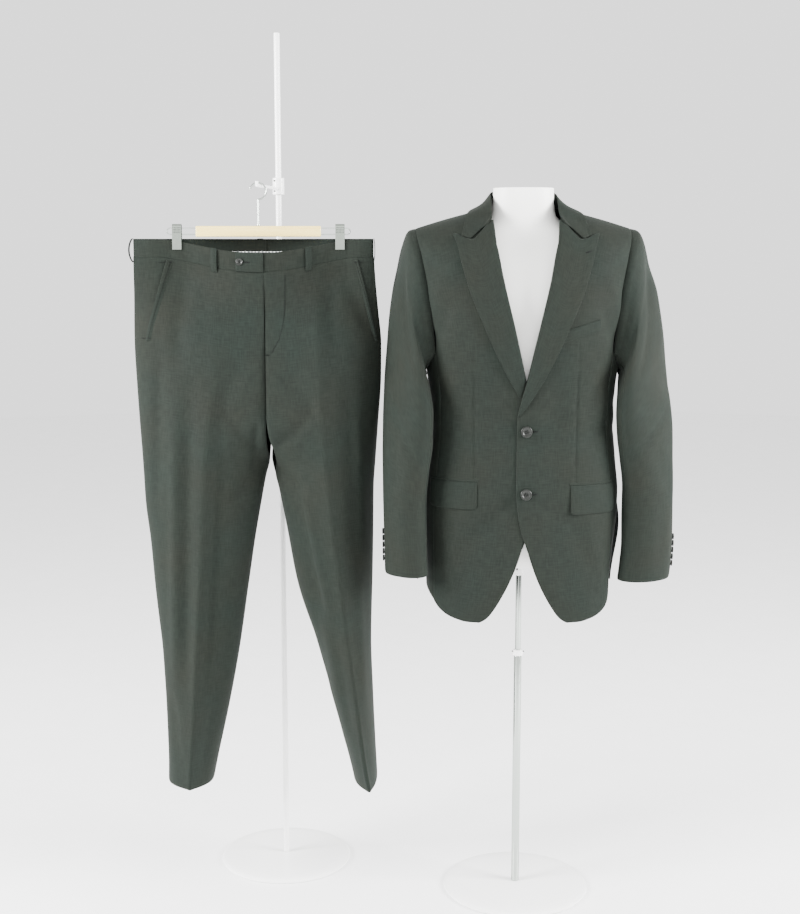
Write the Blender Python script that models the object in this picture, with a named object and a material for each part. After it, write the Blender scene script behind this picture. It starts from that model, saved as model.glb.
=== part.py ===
"""Two-piece suit: a jacket on a limbless dress form, and trousers hung by the waist from a clip hanger.

Metres, +Z up. The origin is the centre of the underside of the form's base, and the fronts face -Y.
Left and right are the wearer's: left is +X. Cloth is a wall of even thickness laid on a surface that is
worked out from the tables below, so neighbouring pieces share their seams.
"""
import math

import bmesh
import bpy
from mathutils import Vector

MM = 0.001
CLOTH = 1.5 * MM            # wall of one layer of suiting
SEAM = 0.3 * MM             # space between neighbouring pieces
SIDES = {"left": 1, "right": -1}


class Table:
    """Rows of sizes under named columns, sorted by the first one; values run smoothly between rows."""

    def __init__(self, columns, *rows):
        self.columns = columns.split()
        self.rows = sorted(rows)

    def slope(self, i, k):
        if i == 0 or i == len(self.rows) - 1:
            return None
        before, here, after = self.rows[i - 1], self.rows[i], self.rows[i + 1]
        down = (here[k] - before[k]) / (here[0] - before[0])
        up = (after[k] - here[k]) / (after[0] - here[0])
        return 0.0 if down * up <= 0 else 2 * down * up / (down + up)

    def __call__(self, column, place):
        k = self.columns.index(column)
        rows = self.rows
        place = min(max(place, rows[0][0]), rows[-1][0])
        i = max(n for n in range(len(rows) - 1) if rows[n][0] <= place)
        start, end = rows[i], rows[i + 1]
        width = end[0] - start[0]
        t = (place - start[0]) / width
        chord = (end[k] - start[k]) / width
        leave = self.slope(i, k)
        arrive = self.slope(i + 1, k)
        leave = chord if leave is None else leave
        arrive = chord if arrive is None else arrive
        smooth = t * t * (3 - 2 * t)
        bend = width * (leave * t * (1 - t) ** 2 - arrive * t * t * (1 - t))
        return start[k] + (end[k] - start[k]) * smooth + bend


def mix(a, b, t):
    return a + (b - a) * t


def ease(t):
    t = min(max(t, 0.0), 1.0)
    return t * t * (3 - 2 * t)


# ---------------------------------------------------------------- sizes: jacket

# Body of the jacket, level by level: half width, and how far it reaches before and behind its middle.
TORSO = Table(
    "height half_width front back middle",
    (0.580, 0.196, 0.116, 0.118, 0.000),
    (0.660, 0.199, 0.119, 0.119, 0.000),
    (0.750, 0.200, 0.122, 0.118, 0.000),
    (0.850, 0.196, 0.124, 0.112, 0.000),
    (0.930, 0.188, 0.120, 0.100, 0.000),
    (0.985, 0.184, 0.118, 0.093, 0.000),
    (1.060, 0.186, 0.123, 0.100, 0.000),
    (1.120, 0.194, 0.130, 0.110, 0.000),
    (1.180, 0.201, 0.133, 0.116, 0.001),
    (1.245, 0.210, 0.128, 0.116, 0.003),
    (1.310, 0.224, 0.117, 0.110, 0.006),
    (1.372, 0.238, 0.105, 0.100, 0.010),
    (1.450, 0.240, 0.098, 0.092, 0.012),
)
SQUARENESS = 0.80           # 1 would make each level an ellipse

# Shoulder line from the front: its height over each distance from the middle.
SHOULDER = Table(
    "reach height",
    (0.000, 1.430), (0.035, 1.426), (0.069, 1.414), (0.103, 1.404), (0.158, 1.389), (0.213, 1.372), (0.245, 1.362),
)
SHOULDER_ROUND = 0.075      # how far below the shoulder line the cloth is still turning over
UNDERARM = 1.100            # lowest point of the armhole
ARMHOLE_CORNER = 1.132      # where the armhole leaves the two seams beside it
FRONT_SEAM = 60.0           # turn, in degrees from the centre front, of the seam under the front of the arm
BACK_SEAM = Table(          # and of the curved one under its back, which opens into the vent
    "height turn",
    (0.600, 88.0), (0.800, 89.0), (0.875, 97.0), (0.950, 106.0), (1.050, 116.0), (1.132, 120.0), (1.450, 120.0),
)

# Front edge: how far it stays from the middle, from the cutaway hem to the neck. Minus is past the middle.
FRONT_EDGE = Table(
    "height reach",
    (0.596, 0.106), (0.602, 0.084), (0.612, 0.070), (0.628, 0.058), (0.650, 0.045), (0.680, 0.030),
    (0.715, 0.016), (0.750, 0.005), (0.785, -0.007), (0.820, -0.014), (0.870, -0.018), (1.005, -0.017),
    (1.040, -0.010), (1.080, 0.000), (1.120, 0.009), (1.190, 0.025), (1.270, 0.044), (1.340, 0.058),
    (1.365, 0.067), (1.390, 0.077), (1.430, 0.084),
)
ROLL_TOP = ((1.340, 0.058), (1.385, 0.0625))     # above the first height the lapel rolls straight on to the collar
HEM = Table(
    "turn height",
    (0.0, 0.600), (32.0, 0.601), (42.0, 0.606), (49.0, 0.613), (55.0, 0.624), (62.0, 0.640), (78.0, 0.653),
    (110.0, 0.661), (180.0, 0.664),
)
BACK_HEM = 0.665
BACK_NECK = 1.410           # height of the back neckline at the centre back
LAP = 3.0 * MM              # the left front lies this far over the right one
VENT_TOP = 0.875
TUCK = {1: 26 * MM, -1: 9 * MM}     # how far each side hangs inside the back at the vent
BACK_TUCK = {1: 16 * MM, -1: 0.0}
FLARE = {1: 4 * MM, -1: 10 * MM}    # and how far the edge of the back stands out there

LAPEL_EDGE = Table(
    "height reach",
    (1.010, -0.0145), (1.022, -0.005), (1.046, 0.011), (1.080, 0.031), (1.122, 0.053), (1.182, 0.080),
    (1.245, 0.106), (1.308, 0.125), (1.338, 0.132), (1.358, 0.139), (1.380, 0.142),
)
GORGE = Table(              # top edge of the lapel: the seam to the collar, the notch and the peak
    "reach height",
    (0.050, 1.392), (0.066, 1.384), (0.078, 1.372), (0.092, 1.356), (0.104, 1.347), (0.115, 1.350),
    (0.124, 1.354), (0.133, 1.357), (0.142, 1.359),
)
LAPEL_BREAK = {1: 1.012, -1: 1.050}
LAPEL_STAND = 4.5 * MM      # face of the lapel above the front

COLLAR = Table(             # from the centre back, 0, to the front end, 1: foot of the stand, fold line and outer edge
    "run foot_x foot_y foot_z fold_x fold_y fold_z edge_x edge_y edge_z",
    (0.00, 0.0000, 0.075, 1.413, 0.000, 0.073, 1.449, 0.000, 0.089, 1.406),
    (0.22, 0.0360, 0.068, 1.414, 0.034, 0.066, 1.449, 0.047, 0.085, 1.406),
    (0.42, 0.0650, 0.045, 1.416, 0.059, 0.041, 1.446, 0.083, 0.062, 1.403),
    (0.58, 0.0730, 0.010, 1.415, 0.0635, 0.008, 1.441, 0.098, 0.022, 1.411),
    (0.74, 0.0705, -0.026, 1.404, 0.0635, -0.030, 1.424, 0.114, -0.038, 1.399),
    (0.87, 0.0675, -0.050, 1.392, 0.0640, -0.055, 1.402, 0.119, -0.063, 1.380),
    (1.00, 0.0705, -0.072, 1.3835, 0.0705, -0.079, 1.3875, 0.124, -0.084, 1.360),
)
COLLAR_FOLD = 2 / 7         # share of the sheet below the fold
COLLAR_DIP = 14 * MM        # dip of the collar's front end down to the notch

BODY_ROWS = (5, 3, 3, 3)    # hem to vent, to the armhole's corner, to the shoulder, and over it

SLEEVE = {
    1: Table(
        "down outer_x outer_z inner_x inner_z middle depth",
        (0.000, 0.213, 1.372, 0.192, 1.100, 0.010, 0.070),
        (0.016, 0.229, 1.368, 0.196, 1.093, 0.009, 0.075),
        (0.045, 0.244, 1.341, 0.192, 1.088, 0.000, 0.077),
        (0.090, 0.257, 1.296, 0.187, 1.076, -0.008, 0.076),
        (0.140, 0.272, 1.248, 0.184, 1.058, -0.015, 0.073),
        (0.240, 0.289, 1.150, 0.181, 1.016, -0.022, 0.067),
        (0.330, 0.296, 1.062, 0.184, 0.970, -0.027, 0.062),
        (0.420, 0.303, 0.973, 0.192, 0.920, -0.032, 0.058),
        (0.510, 0.303, 0.883, 0.199, 0.856, -0.038, 0.054),
        (0.630, 0.304, 0.762, 0.199, 0.753, -0.047, 0.048),
        (0.690, 0.301, 0.701, 0.194, 0.698, -0.051, 0.045),
        (0.727, 0.296, 0.665, 0.189, 0.664, -0.054, 0.044),
    ),
    -1: Table(
        "down outer_x outer_z inner_x inner_z middle depth",
        (0.000, 0.213, 1.372, 0.192, 1.100, 0.010, 0.070),
        (0.016, 0.228, 1.367, 0.196, 1.093, 0.008, 0.075),
        (0.045, 0.239, 1.340, 0.192, 1.088, 0.000, 0.077),
        (0.100, 0.251, 1.283, 0.187, 1.074, -0.011, 0.076),
        (0.165, 0.262, 1.220, 0.182, 1.049, -0.022, 0.072),
        (0.240, 0.269, 1.150, 0.178, 1.014, -0.034, 0.067),
        (0.330, 0.275, 1.062, 0.178, 0.966, -0.047, 0.062),
        (0.445, 0.278, 0.943, 0.186, 0.898, -0.059, 0.057),
        (0.535, 0.277, 0.852, 0.191, 0.832, -0.067, 0.053),
        (0.613, 0.275, 0.774, 0.190, 0.766, -0.075, 0.048),
        (0.690, 0.273, 0.697, 0.188, 0.695, -0.082, 0.044),
        (0.720, 0.270, 0.669, 0.187, 0.668, -0.085, 0.043),
    ),
}
SLEEVE_END = {1: 0.711, -1: 0.691}
# Round the arm, in degrees from its outer side towards the front: seams at the armhole and at the cuff.
BACK_ARM_SEAM = {1: (-72.0, -6.0), -1: (-72.0, -16.0)}
FRONT_ARM_SEAM = (150.0, 165.0)
SLEEVE_LEAN = {1: 0.056, -1: 0.052}

POCKET = {"left": (0.089, 0.178, 0.877, 0.058), "right": (0.093, 0.182, 0.884, 0.055)}   # reach, reach, top, drop
BREAST_WELT = (0.062, 0.142, 1.152, 22 * MM, 0.30)       # reach, reach, height, width, slope
FRONT_BUTTONS = ((0.983, 3.0 * MM), (0.861, 1.4 * MM))  # height, and how far each stands off the front
FRONT_BUTTON = 22 * MM
CUFF_BUTTON = 12.6 * MM
CUFF_BUTTONS = 5
CUFF_BUTTON_PITCH = 13.1 * MM
CUFF_BUTTON_START = 27 * MM     # first one above the edge of the cuff

# ---------------------------------------------------------------- sizes: trousers

TROUSERS_X = -0.5225        # middle of the hanger
WAIST_TOP = 1.352
BAND = 36 * MM
HALF_WAIST = {1: 0.2270, -1: 0.2480}
CENTRE_FRONT = 0.0115       # the fly hangs this far off the hanger's middle
CROTCH = 0.914
CLIP_REACH = 0.161
CLIP_WIDTH = 18 * MM
WAIST_DIP = 28 * MM         # sag of the front waist between the clips
WAIST_BELLY = 31 * MM       # and how far it falls forward there
PINCH = 3.6 * MM            # half thickness of the waist in a clip

LEG = {                     # side seam, inseam, crease, and reach of the front and back creases
    1: Table(
        "height side inner crease front back",
        (0.241, 0.2325, 0.1840, 0.2175, 0.086, 0.088),
        (0.302, 0.2295, 0.1700, 0.2070, 0.086, 0.088),
        (0.426, 0.2240, 0.1370, 0.1920, 0.087, 0.089),
        (0.540, 0.2205, 0.1060, 0.1770, 0.088, 0.090),
        (0.664, 0.2235, 0.0690, 0.1620, 0.089, 0.092),
        (0.770, 0.2255, 0.0500, 0.1480, 0.090, 0.096),
        (0.855, 0.2265, 0.0340, 0.1400, 0.091, 0.100),
        (0.914, 0.2305, 0.0200, 0.1340, 0.090, 0.100),
        (0.990, 0.2360, 0.0170, 0.1280, 0.086, 0.096),
        (1.080, 0.2420, 0.0160, 0.1220, 0.076, 0.086),
        (1.146, 0.2425, 0.0150, 0.1180, 0.064, 0.072),
        (1.205, 0.2375, 0.0140, 0.1140, 0.050, 0.056),
        (1.320, 0.2270, 0.0115, 0.1090, 0.034, 0.036),
    ),
    -1: Table(
        "height side inner crease front back",
        (0.238, 0.2035, 0.1095, 0.1500, 0.068, 0.088),
        (0.290, 0.2025, 0.0985, 0.1465, 0.069, 0.088),
        (0.400, 0.2045, 0.0740, 0.1380, 0.070, 0.088),
        (0.513, 0.2090, 0.0520, 0.1310, 0.071, 0.088),
        (0.645, 0.2210, 0.0315, 0.1215, 0.073, 0.088),
        (0.751, 0.2285, 0.0150, 0.1135, 0.075, 0.090),
        (0.828, 0.2365, 0.0010, 0.1090, 0.077, 0.092),
        (0.880, 0.2385, -0.0090, 0.1050, 0.078, 0.094),
        (0.914, 0.2400, -0.0170, 0.1030, 0.079, 0.094),
        (0.990, 0.2440, -0.0170, 0.0960, 0.077, 0.090),
        (1.062, 0.2475, -0.0160, 0.0870, 0.072, 0.082),
        (1.153, 0.2505, -0.0150, 0.0850, 0.060, 0.068),
        (1.227, 0.2495, -0.0135, 0.0850, 0.046, 0.050),
        (1.320, 0.2480, -0.0115, 0.0850, 0.034, 0.036),
    ),
}
CREASE_SHARPNESS = math.radians(60)
TROUSER_GRID = (8, 13)
FRONT_RISE = 0.075          # height over which the front seam swings from the crotch to the front
BACK_RISE = 0.120
LOOPS = (                   # name, side, front or back, reach, how far it stands out
    ("front_left", 1, -1, 0.099, 2.0), ("front_right", -1, -1, 0.086, 2.0), ("centre_back", 1, 1, 0.0, 2.0),
)
POCKET_MOUTH = {1: (0.860, 0.739), -1: (0.790, 0.680)}      # where it lies across the front, low and high
LOOP_WIDTH = 12 * MM
LOOP_HEIGHT = 47 * MM

# ---------------------------------------------------------------- sizes: form, stands and hanger

FORM = Table(
    "height half_width front back middle",
    (0.704, 0.130, 0.078, 0.078, 0.000),
    (0.712, 0.152, 0.090, 0.088, 0.000),
    (0.760, 0.160, 0.097, 0.092, 0.000),
    (0.860, 0.163, 0.101, 0.092, 0.000),
    (0.960, 0.152, 0.096, 0.076, 0.000),
    (1.050, 0.156, 0.100, 0.080, 0.000),
    (1.150, 0.165, 0.108, 0.090, 0.000),
    (1.230, 0.172, 0.104, 0.092, 0.003),
    (1.300, 0.180, 0.088, 0.084, 0.006),
    (1.332, 0.168, 0.075, 0.076, 0.008),
    (1.352, 0.138, 0.064, 0.068, 0.009),
    (1.368, 0.106, 0.056, 0.061, 0.009),
    (1.384, 0.076, 0.050, 0.056, 0.008),
    (1.402, 0.063, 0.049, 0.053, 0.006),
    (1.430, 0.0600, 0.050, 0.052, 0.003),
    (1.450, 0.0595, 0.050, 0.052, 0.002),
)
FORM_BOTTOM = 0.704
BASE_RADIUS, BASE_HEIGHT = 0.150, 0.012
POLE_STEP = 0.509
POLE_LOWER, POLE_UPPER = 8 * MM, 6 * MM
STAND_X, STAND_Y = -0.494, 0.142
STAND_TOP = 1.767
STAND_POLE = 6 * MM
ARM_HEIGHT = 1.455
BAR_LENGTH, BAR_HEIGHT, BAR_DEPTH, BAR_Z = 0.247, 0.021, 0.012, 1.3665
WIRE = 1.1 * MM
HOOK_WIRE = 1.7 * MM
HOOK_RADIUS = 16 * MM


# ---------------------------------------------------------------- building helpers

def finish(name, mesh, material, smooth=40):
    """Put a bmesh in the scene as one named piece, its faces pointing out."""
    bmesh.ops.recalc_face_normals(mesh, faces=mesh.faces)
    if mesh.calc_volume(signed=True) < 0:
        bmesh.ops.reverse_faces(mesh, faces=mesh.faces)
    data = bpy.data.meshes.new(name)
    mesh.to_mesh(data)
    mesh.free()
    return place(name, data, material, smooth)


def place(name, data, material, smooth=40):
    data.materials.append(material)
    if smooth:
        data.shade_smooth()
        data.set_sharp_from_angle(angle=math.radians(smooth))
    piece = bpy.data.objects.new(name, data)
    SUIT.objects.link(piece)
    return piece


def outward(surface, u, v, handed):
    """Unit normal of a surface at (u, v), pointing out of the garment."""
    step = 0.002
    across = surface(min(u + step, 1.0), v) - surface(max(u - step, 0.0), v)
    along = surface(u, min(v + step, 1.0)) - surface(u, max(v - step, 0.0))
    return across.cross(along).normalized() * handed


def wall(name, surface, across, along, handed, material=None, thickness=CLOTH, raised=0.0):
    """A cloth wall: a grid laid on surface(u, v) with u and v from 0 to 1, and a copy of it moved in."""
    mesh = bmesh.new()
    bmesh.ops.create_grid(mesh, x_segments=across, y_segments=along, size=0.5)
    copied = bmesh.ops.duplicate(mesh, geom=mesh.verts[:] + mesh.edges[:] + mesh.faces[:])["geom"]
    under = [item for item in copied if isinstance(item, bmesh.types.BMVert)]
    bmesh.ops.translate(mesh, verts=under, vec=(0, 0, -0.1))
    bmesh.ops.bridge_loops(mesh, edges=[edge for edge in mesh.edges if edge.is_boundary])
    for vertex in mesh.verts:
        u, v = vertex.co.x + 0.5, vertex.co.y + 0.5
        height = raised(u, v) if callable(raised) else raised
        if vertex.co.z < -0.05:
            height -= thickness
        vertex.co = surface(u, v) + outward(surface, u, v, handed) * height
    return finish(name, mesh, material or WOOL)


def cylinder(name, centre, radius, low, high, material, sides=32, edge=0.0):
    mesh = bmesh.new()
    bmesh.ops.create_cone(mesh, cap_ends=True, segments=sides, radius1=radius, radius2=radius, depth=high - low)
    bmesh.ops.translate(mesh, verts=mesh.verts, vec=(centre[0], centre[1], (low + high) / 2))
    if edge:
        rims = [e for e in mesh.edges if abs(e.verts[0].co.z - e.verts[1].co.z) < 1e-6]
        bmesh.ops.bevel(mesh, geom=rims, offset=edge, segments=1, affect="EDGES", profile=0.5, material=-1)
    return finish(name, mesh, material)


def box(name, low, high, material, edge=0.0):
    mesh = bmesh.new()
    bmesh.ops.create_cube(mesh, size=1.0)
    for vertex in mesh.verts:
        vertex.co = Vector([mix(a, b, c + 0.5) for a, b, c in zip(low, high, vertex.co)])
    if edge:
        bmesh.ops.bevel(mesh, geom=mesh.edges[:], offset=edge, segments=2, affect="EDGES", profile=0.5, material=-1)
    return finish(name, mesh, material, smooth=30)


def wire(name, points, radius, material):
    curve = bpy.data.curves.new(name, "CURVE")
    curve.dimensions = "3D"
    curve.bevel_depth = radius
    curve.bevel_resolution = 2
    curve.use_fill_caps = True
    spline = curve.splines.new("POLY")
    spline.points.add(len(points) - 1)
    for point, spot in zip(spline.points, points):
        point.co = (*spot, 1.0)
    curve.materials.append(material)
    piece = bpy.data.objects.new(name, curve)
    SUIT.objects.link(piece)
    return piece


def coat(name, colour, roughness, metallic=0.0):
    material = bpy.data.materials.new(name)
    material.use_nodes = True
    shader = material.node_tree.nodes["Principled BSDF"]
    shader.inputs["Base Color"].default_value = (*colour, 1.0)
    shader.inputs["Roughness"].default_value = roughness
    shader.inputs["Metallic"].default_value = metallic
    return material


# ---------------------------------------------------------------- jacket body

def shoulder_fade(reach, height):
    """1 on the upright cloth, falling as a quarter circle to 0 on the shoulder line."""
    below = (SHOULDER("height", reach) - height) / SHOULDER_ROUND
    below = min(max(below, 0.0), 1.0)
    return math.sqrt(1 - (1 - below) ** 2)


def reach_at(turn, height):
    wave = math.sin(math.radians(turn))
    return TORSO("half_width", height) * math.copysign(abs(wave) ** SQUARENESS, wave)


def turn_at(reach, height):
    share = min(abs(reach) / TORSO("half_width", height), 1.0) ** (1 / SQUARENESS)
    return math.copysign(math.degrees(math.asin(share)), reach)


def torso(side, turn, height):
    """Point of the jacket body: turn is 0 at the centre front, 90 at the side, 180 at the centre back."""
    reach = reach_at(turn, height)
    face = math.cos(math.radians(turn))
    deep = TORSO("front" if face > 0 else "back", height) * abs(face) ** SQUARENESS
    deep = deep * shoulder_fade(abs(reach), height) + SEAM / 2
    return Vector((side * reach, TORSO("middle", height) - math.copysign(deep, face), height))


def tucked(side, turn, height):
    """The body where the side hangs inside the vent: drawn in towards the hem."""
    point = torso(side, turn, height)
    amount = TUCK[side] * ease((VENT_TOP - height) / 0.22) * ease((turn - 50) / 38)
    point.x -= side * amount
    return point


def level(row, low, corner, high):
    """Height of a row of the body, shared by every panel: rows are close at the curved hem, then even to the
    armhole's corner, and close again where the cloth turns over the shoulder."""
    hem, waist, chest, shoulder = BODY_ROWS
    if row <= hem:
        return mix(low, VENT_TOP, (row / hem) ** 2)
    if row <= hem + waist:
        return mix(VENT_TOP, corner, (row - hem) / waist)
    if row <= hem + waist + chest:
        return mix(corner, high - SHOULDER_ROUND, (row - hem - waist) / chest)
    share = (row - hem - waist - chest) / shoulder
    return high - SHOULDER_ROUND * (1 - math.sin(share * math.pi / 2))


def top_of(reach_of):
    """Height at which a line of cloth, whose reach depends on height, meets the shoulder line."""
    height = 1.39
    for _ in range(6):
        height = SHOULDER("height", reach_of(height))
    return height


def front_turn(u, height):
    inner = turn_at(FRONT_EDGE("reach", height), height)
    return mix(inner, FRONT_SEAM - 0.05, u)


def front_point(side, turn, height):
    """Left front lies over the right one where they lap."""
    point = tucked(side, turn, height)
    if side == 1:
        reach = abs(reach_at(turn, height)) if turn > 0 else 0.0
        point.y -= LAP * (1 - ease((reach - 0.018) / 0.040)) * (1 - ease((height - 1.06) / 0.06))
    return point


def front(side, u, v):
    low = HEM("height", mix(25.0, FRONT_SEAM, u))
    high = top_of(lambda height: reach_at(front_turn(u, height), height))
    height = level(v * sum(BODY_ROWS), low, ARMHOLE_CORNER, high)
    return front_point(side, front_turn(u, height), height)


def side_top(turn):
    """The bottom of the armhole, between the two seams under the arm."""
    return UNDERARM + (ARMHOLE_CORNER - UNDERARM) * abs((turn - 90) / 30) ** 2.2


def vent_gap(height):
    """Half the space at the back seam, in degrees of turn: a seam, opening where the vent begins."""
    return 0.05 + 0.7 * ease((VENT_TOP + 0.09 - height) / 0.05)


def side_body(side, u, v):
    low = HEM("height", mix(FRONT_SEAM, BACK_SEAM("turn", 0.6), u))
    corner = side_top(mix(FRONT_SEAM, BACK_SEAM("turn", ARMHOLE_CORNER), u))
    height = level(v * sum(BODY_ROWS[:2]), low, corner, 0)
    return tucked(side, mix(FRONT_SEAM + 0.05, BACK_SEAM("turn", height) - vent_gap(height), u), height)


def back(side, u, v):
    """From the side seam to the seam down the middle; below the vent's top its edge stands outside the side."""
    def turn_of(height):
        return mix(BACK_SEAM("turn", height) + vent_gap(height), 180 - 0.05, u)

    high = 1.39
    for _ in range(6):
        reach = reach_at(turn_of(high), high)
        high = min(SHOULDER("height", reach), BACK_NECK + 0.006 * (reach / 0.084) ** 4)
    height = level(v * sum(BODY_ROWS), BACK_HEM, ARMHOLE_CORNER, high)
    turn = turn_of(height)
    point = torso(side, turn, height)
    point.x += side * FLARE[side] * ease((VENT_TOP + 0.04 - height) / 0.14) * ease((140 - turn) / 40)
    point.x -= side * BACK_TUCK[side] * ease((0.80 - height) / 0.14) * ease((150 - turn) / 50)
    return point


# ---------------------------------------------------------------- sleeves

def armhole(side, angle):
    """Edge of the armhole: angle is 0 at the shoulder tip, 90 at the front, 180 under the arm."""
    angle = angle % 360
    facing_back = angle > 180
    if facing_back:
        angle = 360 - angle
    corner = 138.0
    if angle <= corner:
        tip = top_of(lambda height: reach_at(FRONT_SEAM, height))
        height = mix(ARMHOLE_CORNER, tip, (1 + math.cos(math.radians(angle / corner * 180))) / 2)
        turn = FRONT_SEAM
    else:
        turn = mix(FRONT_SEAM, 90.0, (angle - corner) / (180 - corner))
        height = side_top(turn)
    point = torso(side, 180 - turn if facing_back else turn, height)
    point.x += side * 1.2 * MM
    return point


def sleeve_point(side, angle, down):
    table = SLEEVE[side]
    outer = Vector((side * table("outer_x", down), 0, table("outer_z", down)))
    inner = Vector((side * table("inner_x", down), 0, table("inner_z", down)))
    turn = math.radians(angle)
    ring = (outer + inner) / 2 + (outer - inner) / 2 * math.cos(turn)
    lean = SLEEVE_LEAN[side] * ease(down / 0.10) * (1 - 0.8 * ease((down - 0.20) / 0.40))
    ring.y = table("middle", down) - table("depth", down) * math.sin(turn) + lean * math.cos(turn)
    return ring


def sleeve_from_armhole(side, angle, down):
    """A ring of the sleeve, drawn to the armhole's own line where the sleeve is set in."""
    point = sleeve_point(side, angle, down)
    hold = 1 - ease(down / 0.07)
    if hold > 0:
        point += (armhole(side, angle) - sleeve_point(side, angle, 0.0)) * hold
    return point


def sleeve(side, kind):
    """Surface of the top or the under sleeve, from the armhole to the cuff."""
    def surface(u, v):
        down = SLEEVE_END[side] * v ** 1.25
        share = down / SLEEVE_END[side]
        back_seam = mix(*BACK_ARM_SEAM[side], ease(share))
        front_seam = mix(*FRONT_ARM_SEAM, ease(share))
        gap = math.degrees(SEAM / 2 / 0.05) + 0.05
        if kind == "top":
            angle = mix(back_seam + gap, front_seam - gap, u)
        else:
            angle = mix(front_seam + gap, back_seam + 360 - gap, u)
        return sleeve_from_armhole(side, angle, down)
    return surface


# ---------------------------------------------------------------- lapels, collar and pockets

def lapel(side, u, v):
    def reach_of(height):
        (low, start), (high, end) = ROLL_TOP
        inner = mix(start, end, (height - low) / (high - low)) if height > low else FRONT_EDGE("reach", height)
        if side == -1:
            inner = max(inner, 1.5 * MM - inner)
        return mix(inner + 0.5 * MM, LAPEL_EDGE("reach", height), u)

    high = 1.36
    for _ in range(8):
        high = GORGE("height", reach_of(high))
    height = mix(LAPEL_BREAK[side], high - 1.5 * MM, 1 - (1 - v) ** 1.4)
    return front_point(side, turn_at(reach_of(height), height), height)


def collar_line(which, run):
    side = math.copysign(1, run)
    x, y, z = (COLLAR(f"{which}_{axis}", abs(run)) for axis in "xyz")
    return Vector((side * x, y, z))


def collar(u, v):
    """Stand, fold and fall of the collar in one sheet: v is 0 at the foot of the stand, 1 at the outer edge."""
    run = mix(-1.0, 1.0, u)
    fold = collar_line("fold", run)
    share = max(v - COLLAR_FOLD, 0.0) / (1 - COLLAR_FOLD)
    on_chest = ease((abs(run) - 0.62) / 0.2)
    if v < COLLAR_FOLD:
        point = collar_line("foot", run).lerp(fold, v / COLLAR_FOLD)
        held = ease((abs(run) - 0.76) / 0.1)
    else:
        point = fold.lerp(collar_line("edge", run), share)
        point.z -= COLLAR_DIP * min(share / 0.7, (1 - share) / 0.3) * ease((abs(run) - 0.8) / 0.2)
        hollow = mix(2.5, -4.0, ease((abs(run) - 0.42) / 0.16))
        point.z += hollow * MM * math.sin(math.pi * share) * (1 - on_chest)
        held = max(on_chest * ease(share / 0.3), ease((abs(run) - 0.76) / 0.1))
    chest = torso(1, turn_at(abs(point.x), point.z), point.z).y - LAPEL_STAND - 0.5 * MM
    point.y = mix(point.y, min(point.y, chest), held)
    return point


def patch(side, low_reach, high_reach, low, high, slope=0.0):
    """A piece that lies on the front between two reaches and two heights."""
    def surface(u, v):
        reach = mix(low_reach, high_reach, u)
        height = mix(low, high, v) + slope * (reach - low_reach)
        return front_point(side, turn_at(reach, height), height)
    return surface


def round_button(name, centre, facing, diameter, thickness, material, sides=24):
    """A dished button with a raised rim, turned about the way it faces."""
    mesh = bmesh.new()
    bmesh.ops.create_cone(mesh, cap_ends=True, segments=sides, radius1=diameter / 2 * 0.86, radius2=diameter / 2,
                          depth=thickness)
    top = [f for f in mesh.faces if f.normal.z > 0.9]
    bmesh.ops.inset_region(mesh, faces=top, thickness=diameter * 0.11, depth=-thickness * 0.28)
    bmesh.ops.rotate(mesh, verts=mesh.verts, matrix=facing.to_track_quat("Z", "Y").to_matrix())
    bmesh.ops.translate(mesh, verts=mesh.verts, vec=centre + facing * thickness / 2)
    return finish(name, mesh, material)


def build_jacket():
    for name, side in SIDES.items():
        wall(f"jacket_front_{name}", lambda u, v: front(side, u, v), 7, sum(BODY_ROWS), side)
        wall(f"jacket_side_{name}", lambda u, v: side_body(side, u, v), 4, sum(BODY_ROWS[:2]), side)
        wall(f"jacket_back_{name}", lambda u, v: back(side, u, v), 7, sum(BODY_ROWS), side)
        wall(f"sleeve_top_{name}", sleeve(side, "top"), 9, 12, side)
        wall(f"sleeve_under_{name}", sleeve(side, "under"), 6, 12, side)
        wall(f"lapel_{name}", lambda u, v: lapel(side, u, v), 4, 9, side, raised=LAPEL_STAND)
        near, far, top, drop = POCKET[name]
        wall(f"pocket_flap_{name}", patch(side, near, far, top - drop, top), 7, 3, side,
             raised=lambda u, v: (3.6 - 0.6 * v) * MM, thickness=1.2 * MM)
        back_of_arm = BACK_ARM_SEAM[side][1] + 9
        for i in range(CUFF_BUTTONS):
            down = SLEEVE_END[side] - CUFF_BUTTON_START - i * CUFF_BUTTON_PITCH
            share = ease(down / SLEEVE_END[side])
            angle = mix(BACK_ARM_SEAM[side][0], BACK_ARM_SEAM[side][1], share) + 9
            spot = sleeve_point(side, angle, down)
            around = sleeve_point(side, angle + 2, down) - spot
            along = sleeve_point(side, angle, down + 0.005) - spot
            facing = (around.cross(along) * side).normalized()
            round_button(f"cuff_button_{name}_{i + 1}", spot + facing * 1.0 * MM, facing, CUFF_BUTTON, 2.6 * MM,
                         HORN, sides=12)
    wall("collar", collar, 20, 7, 1)
    near, far, height, width, slope = BREAST_WELT
    wall("breast_welt", patch(1, near, far, height, height + width, slope), 5, 2, 1, raised=1.9 * MM,
         thickness=1.2 * MM)
    for i, (height, stand) in enumerate(FRONT_BUTTONS):
        spot = front_point(1, 0.1, height) + Vector((0, -stand, 0))
        round_button(f"front_button_{i + 1}", spot, Vector((0, -1, 0)), FRONT_BUTTON, 3.6 * MM, HORN, sides=20)


# ---------------------------------------------------------------- trousers

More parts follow.
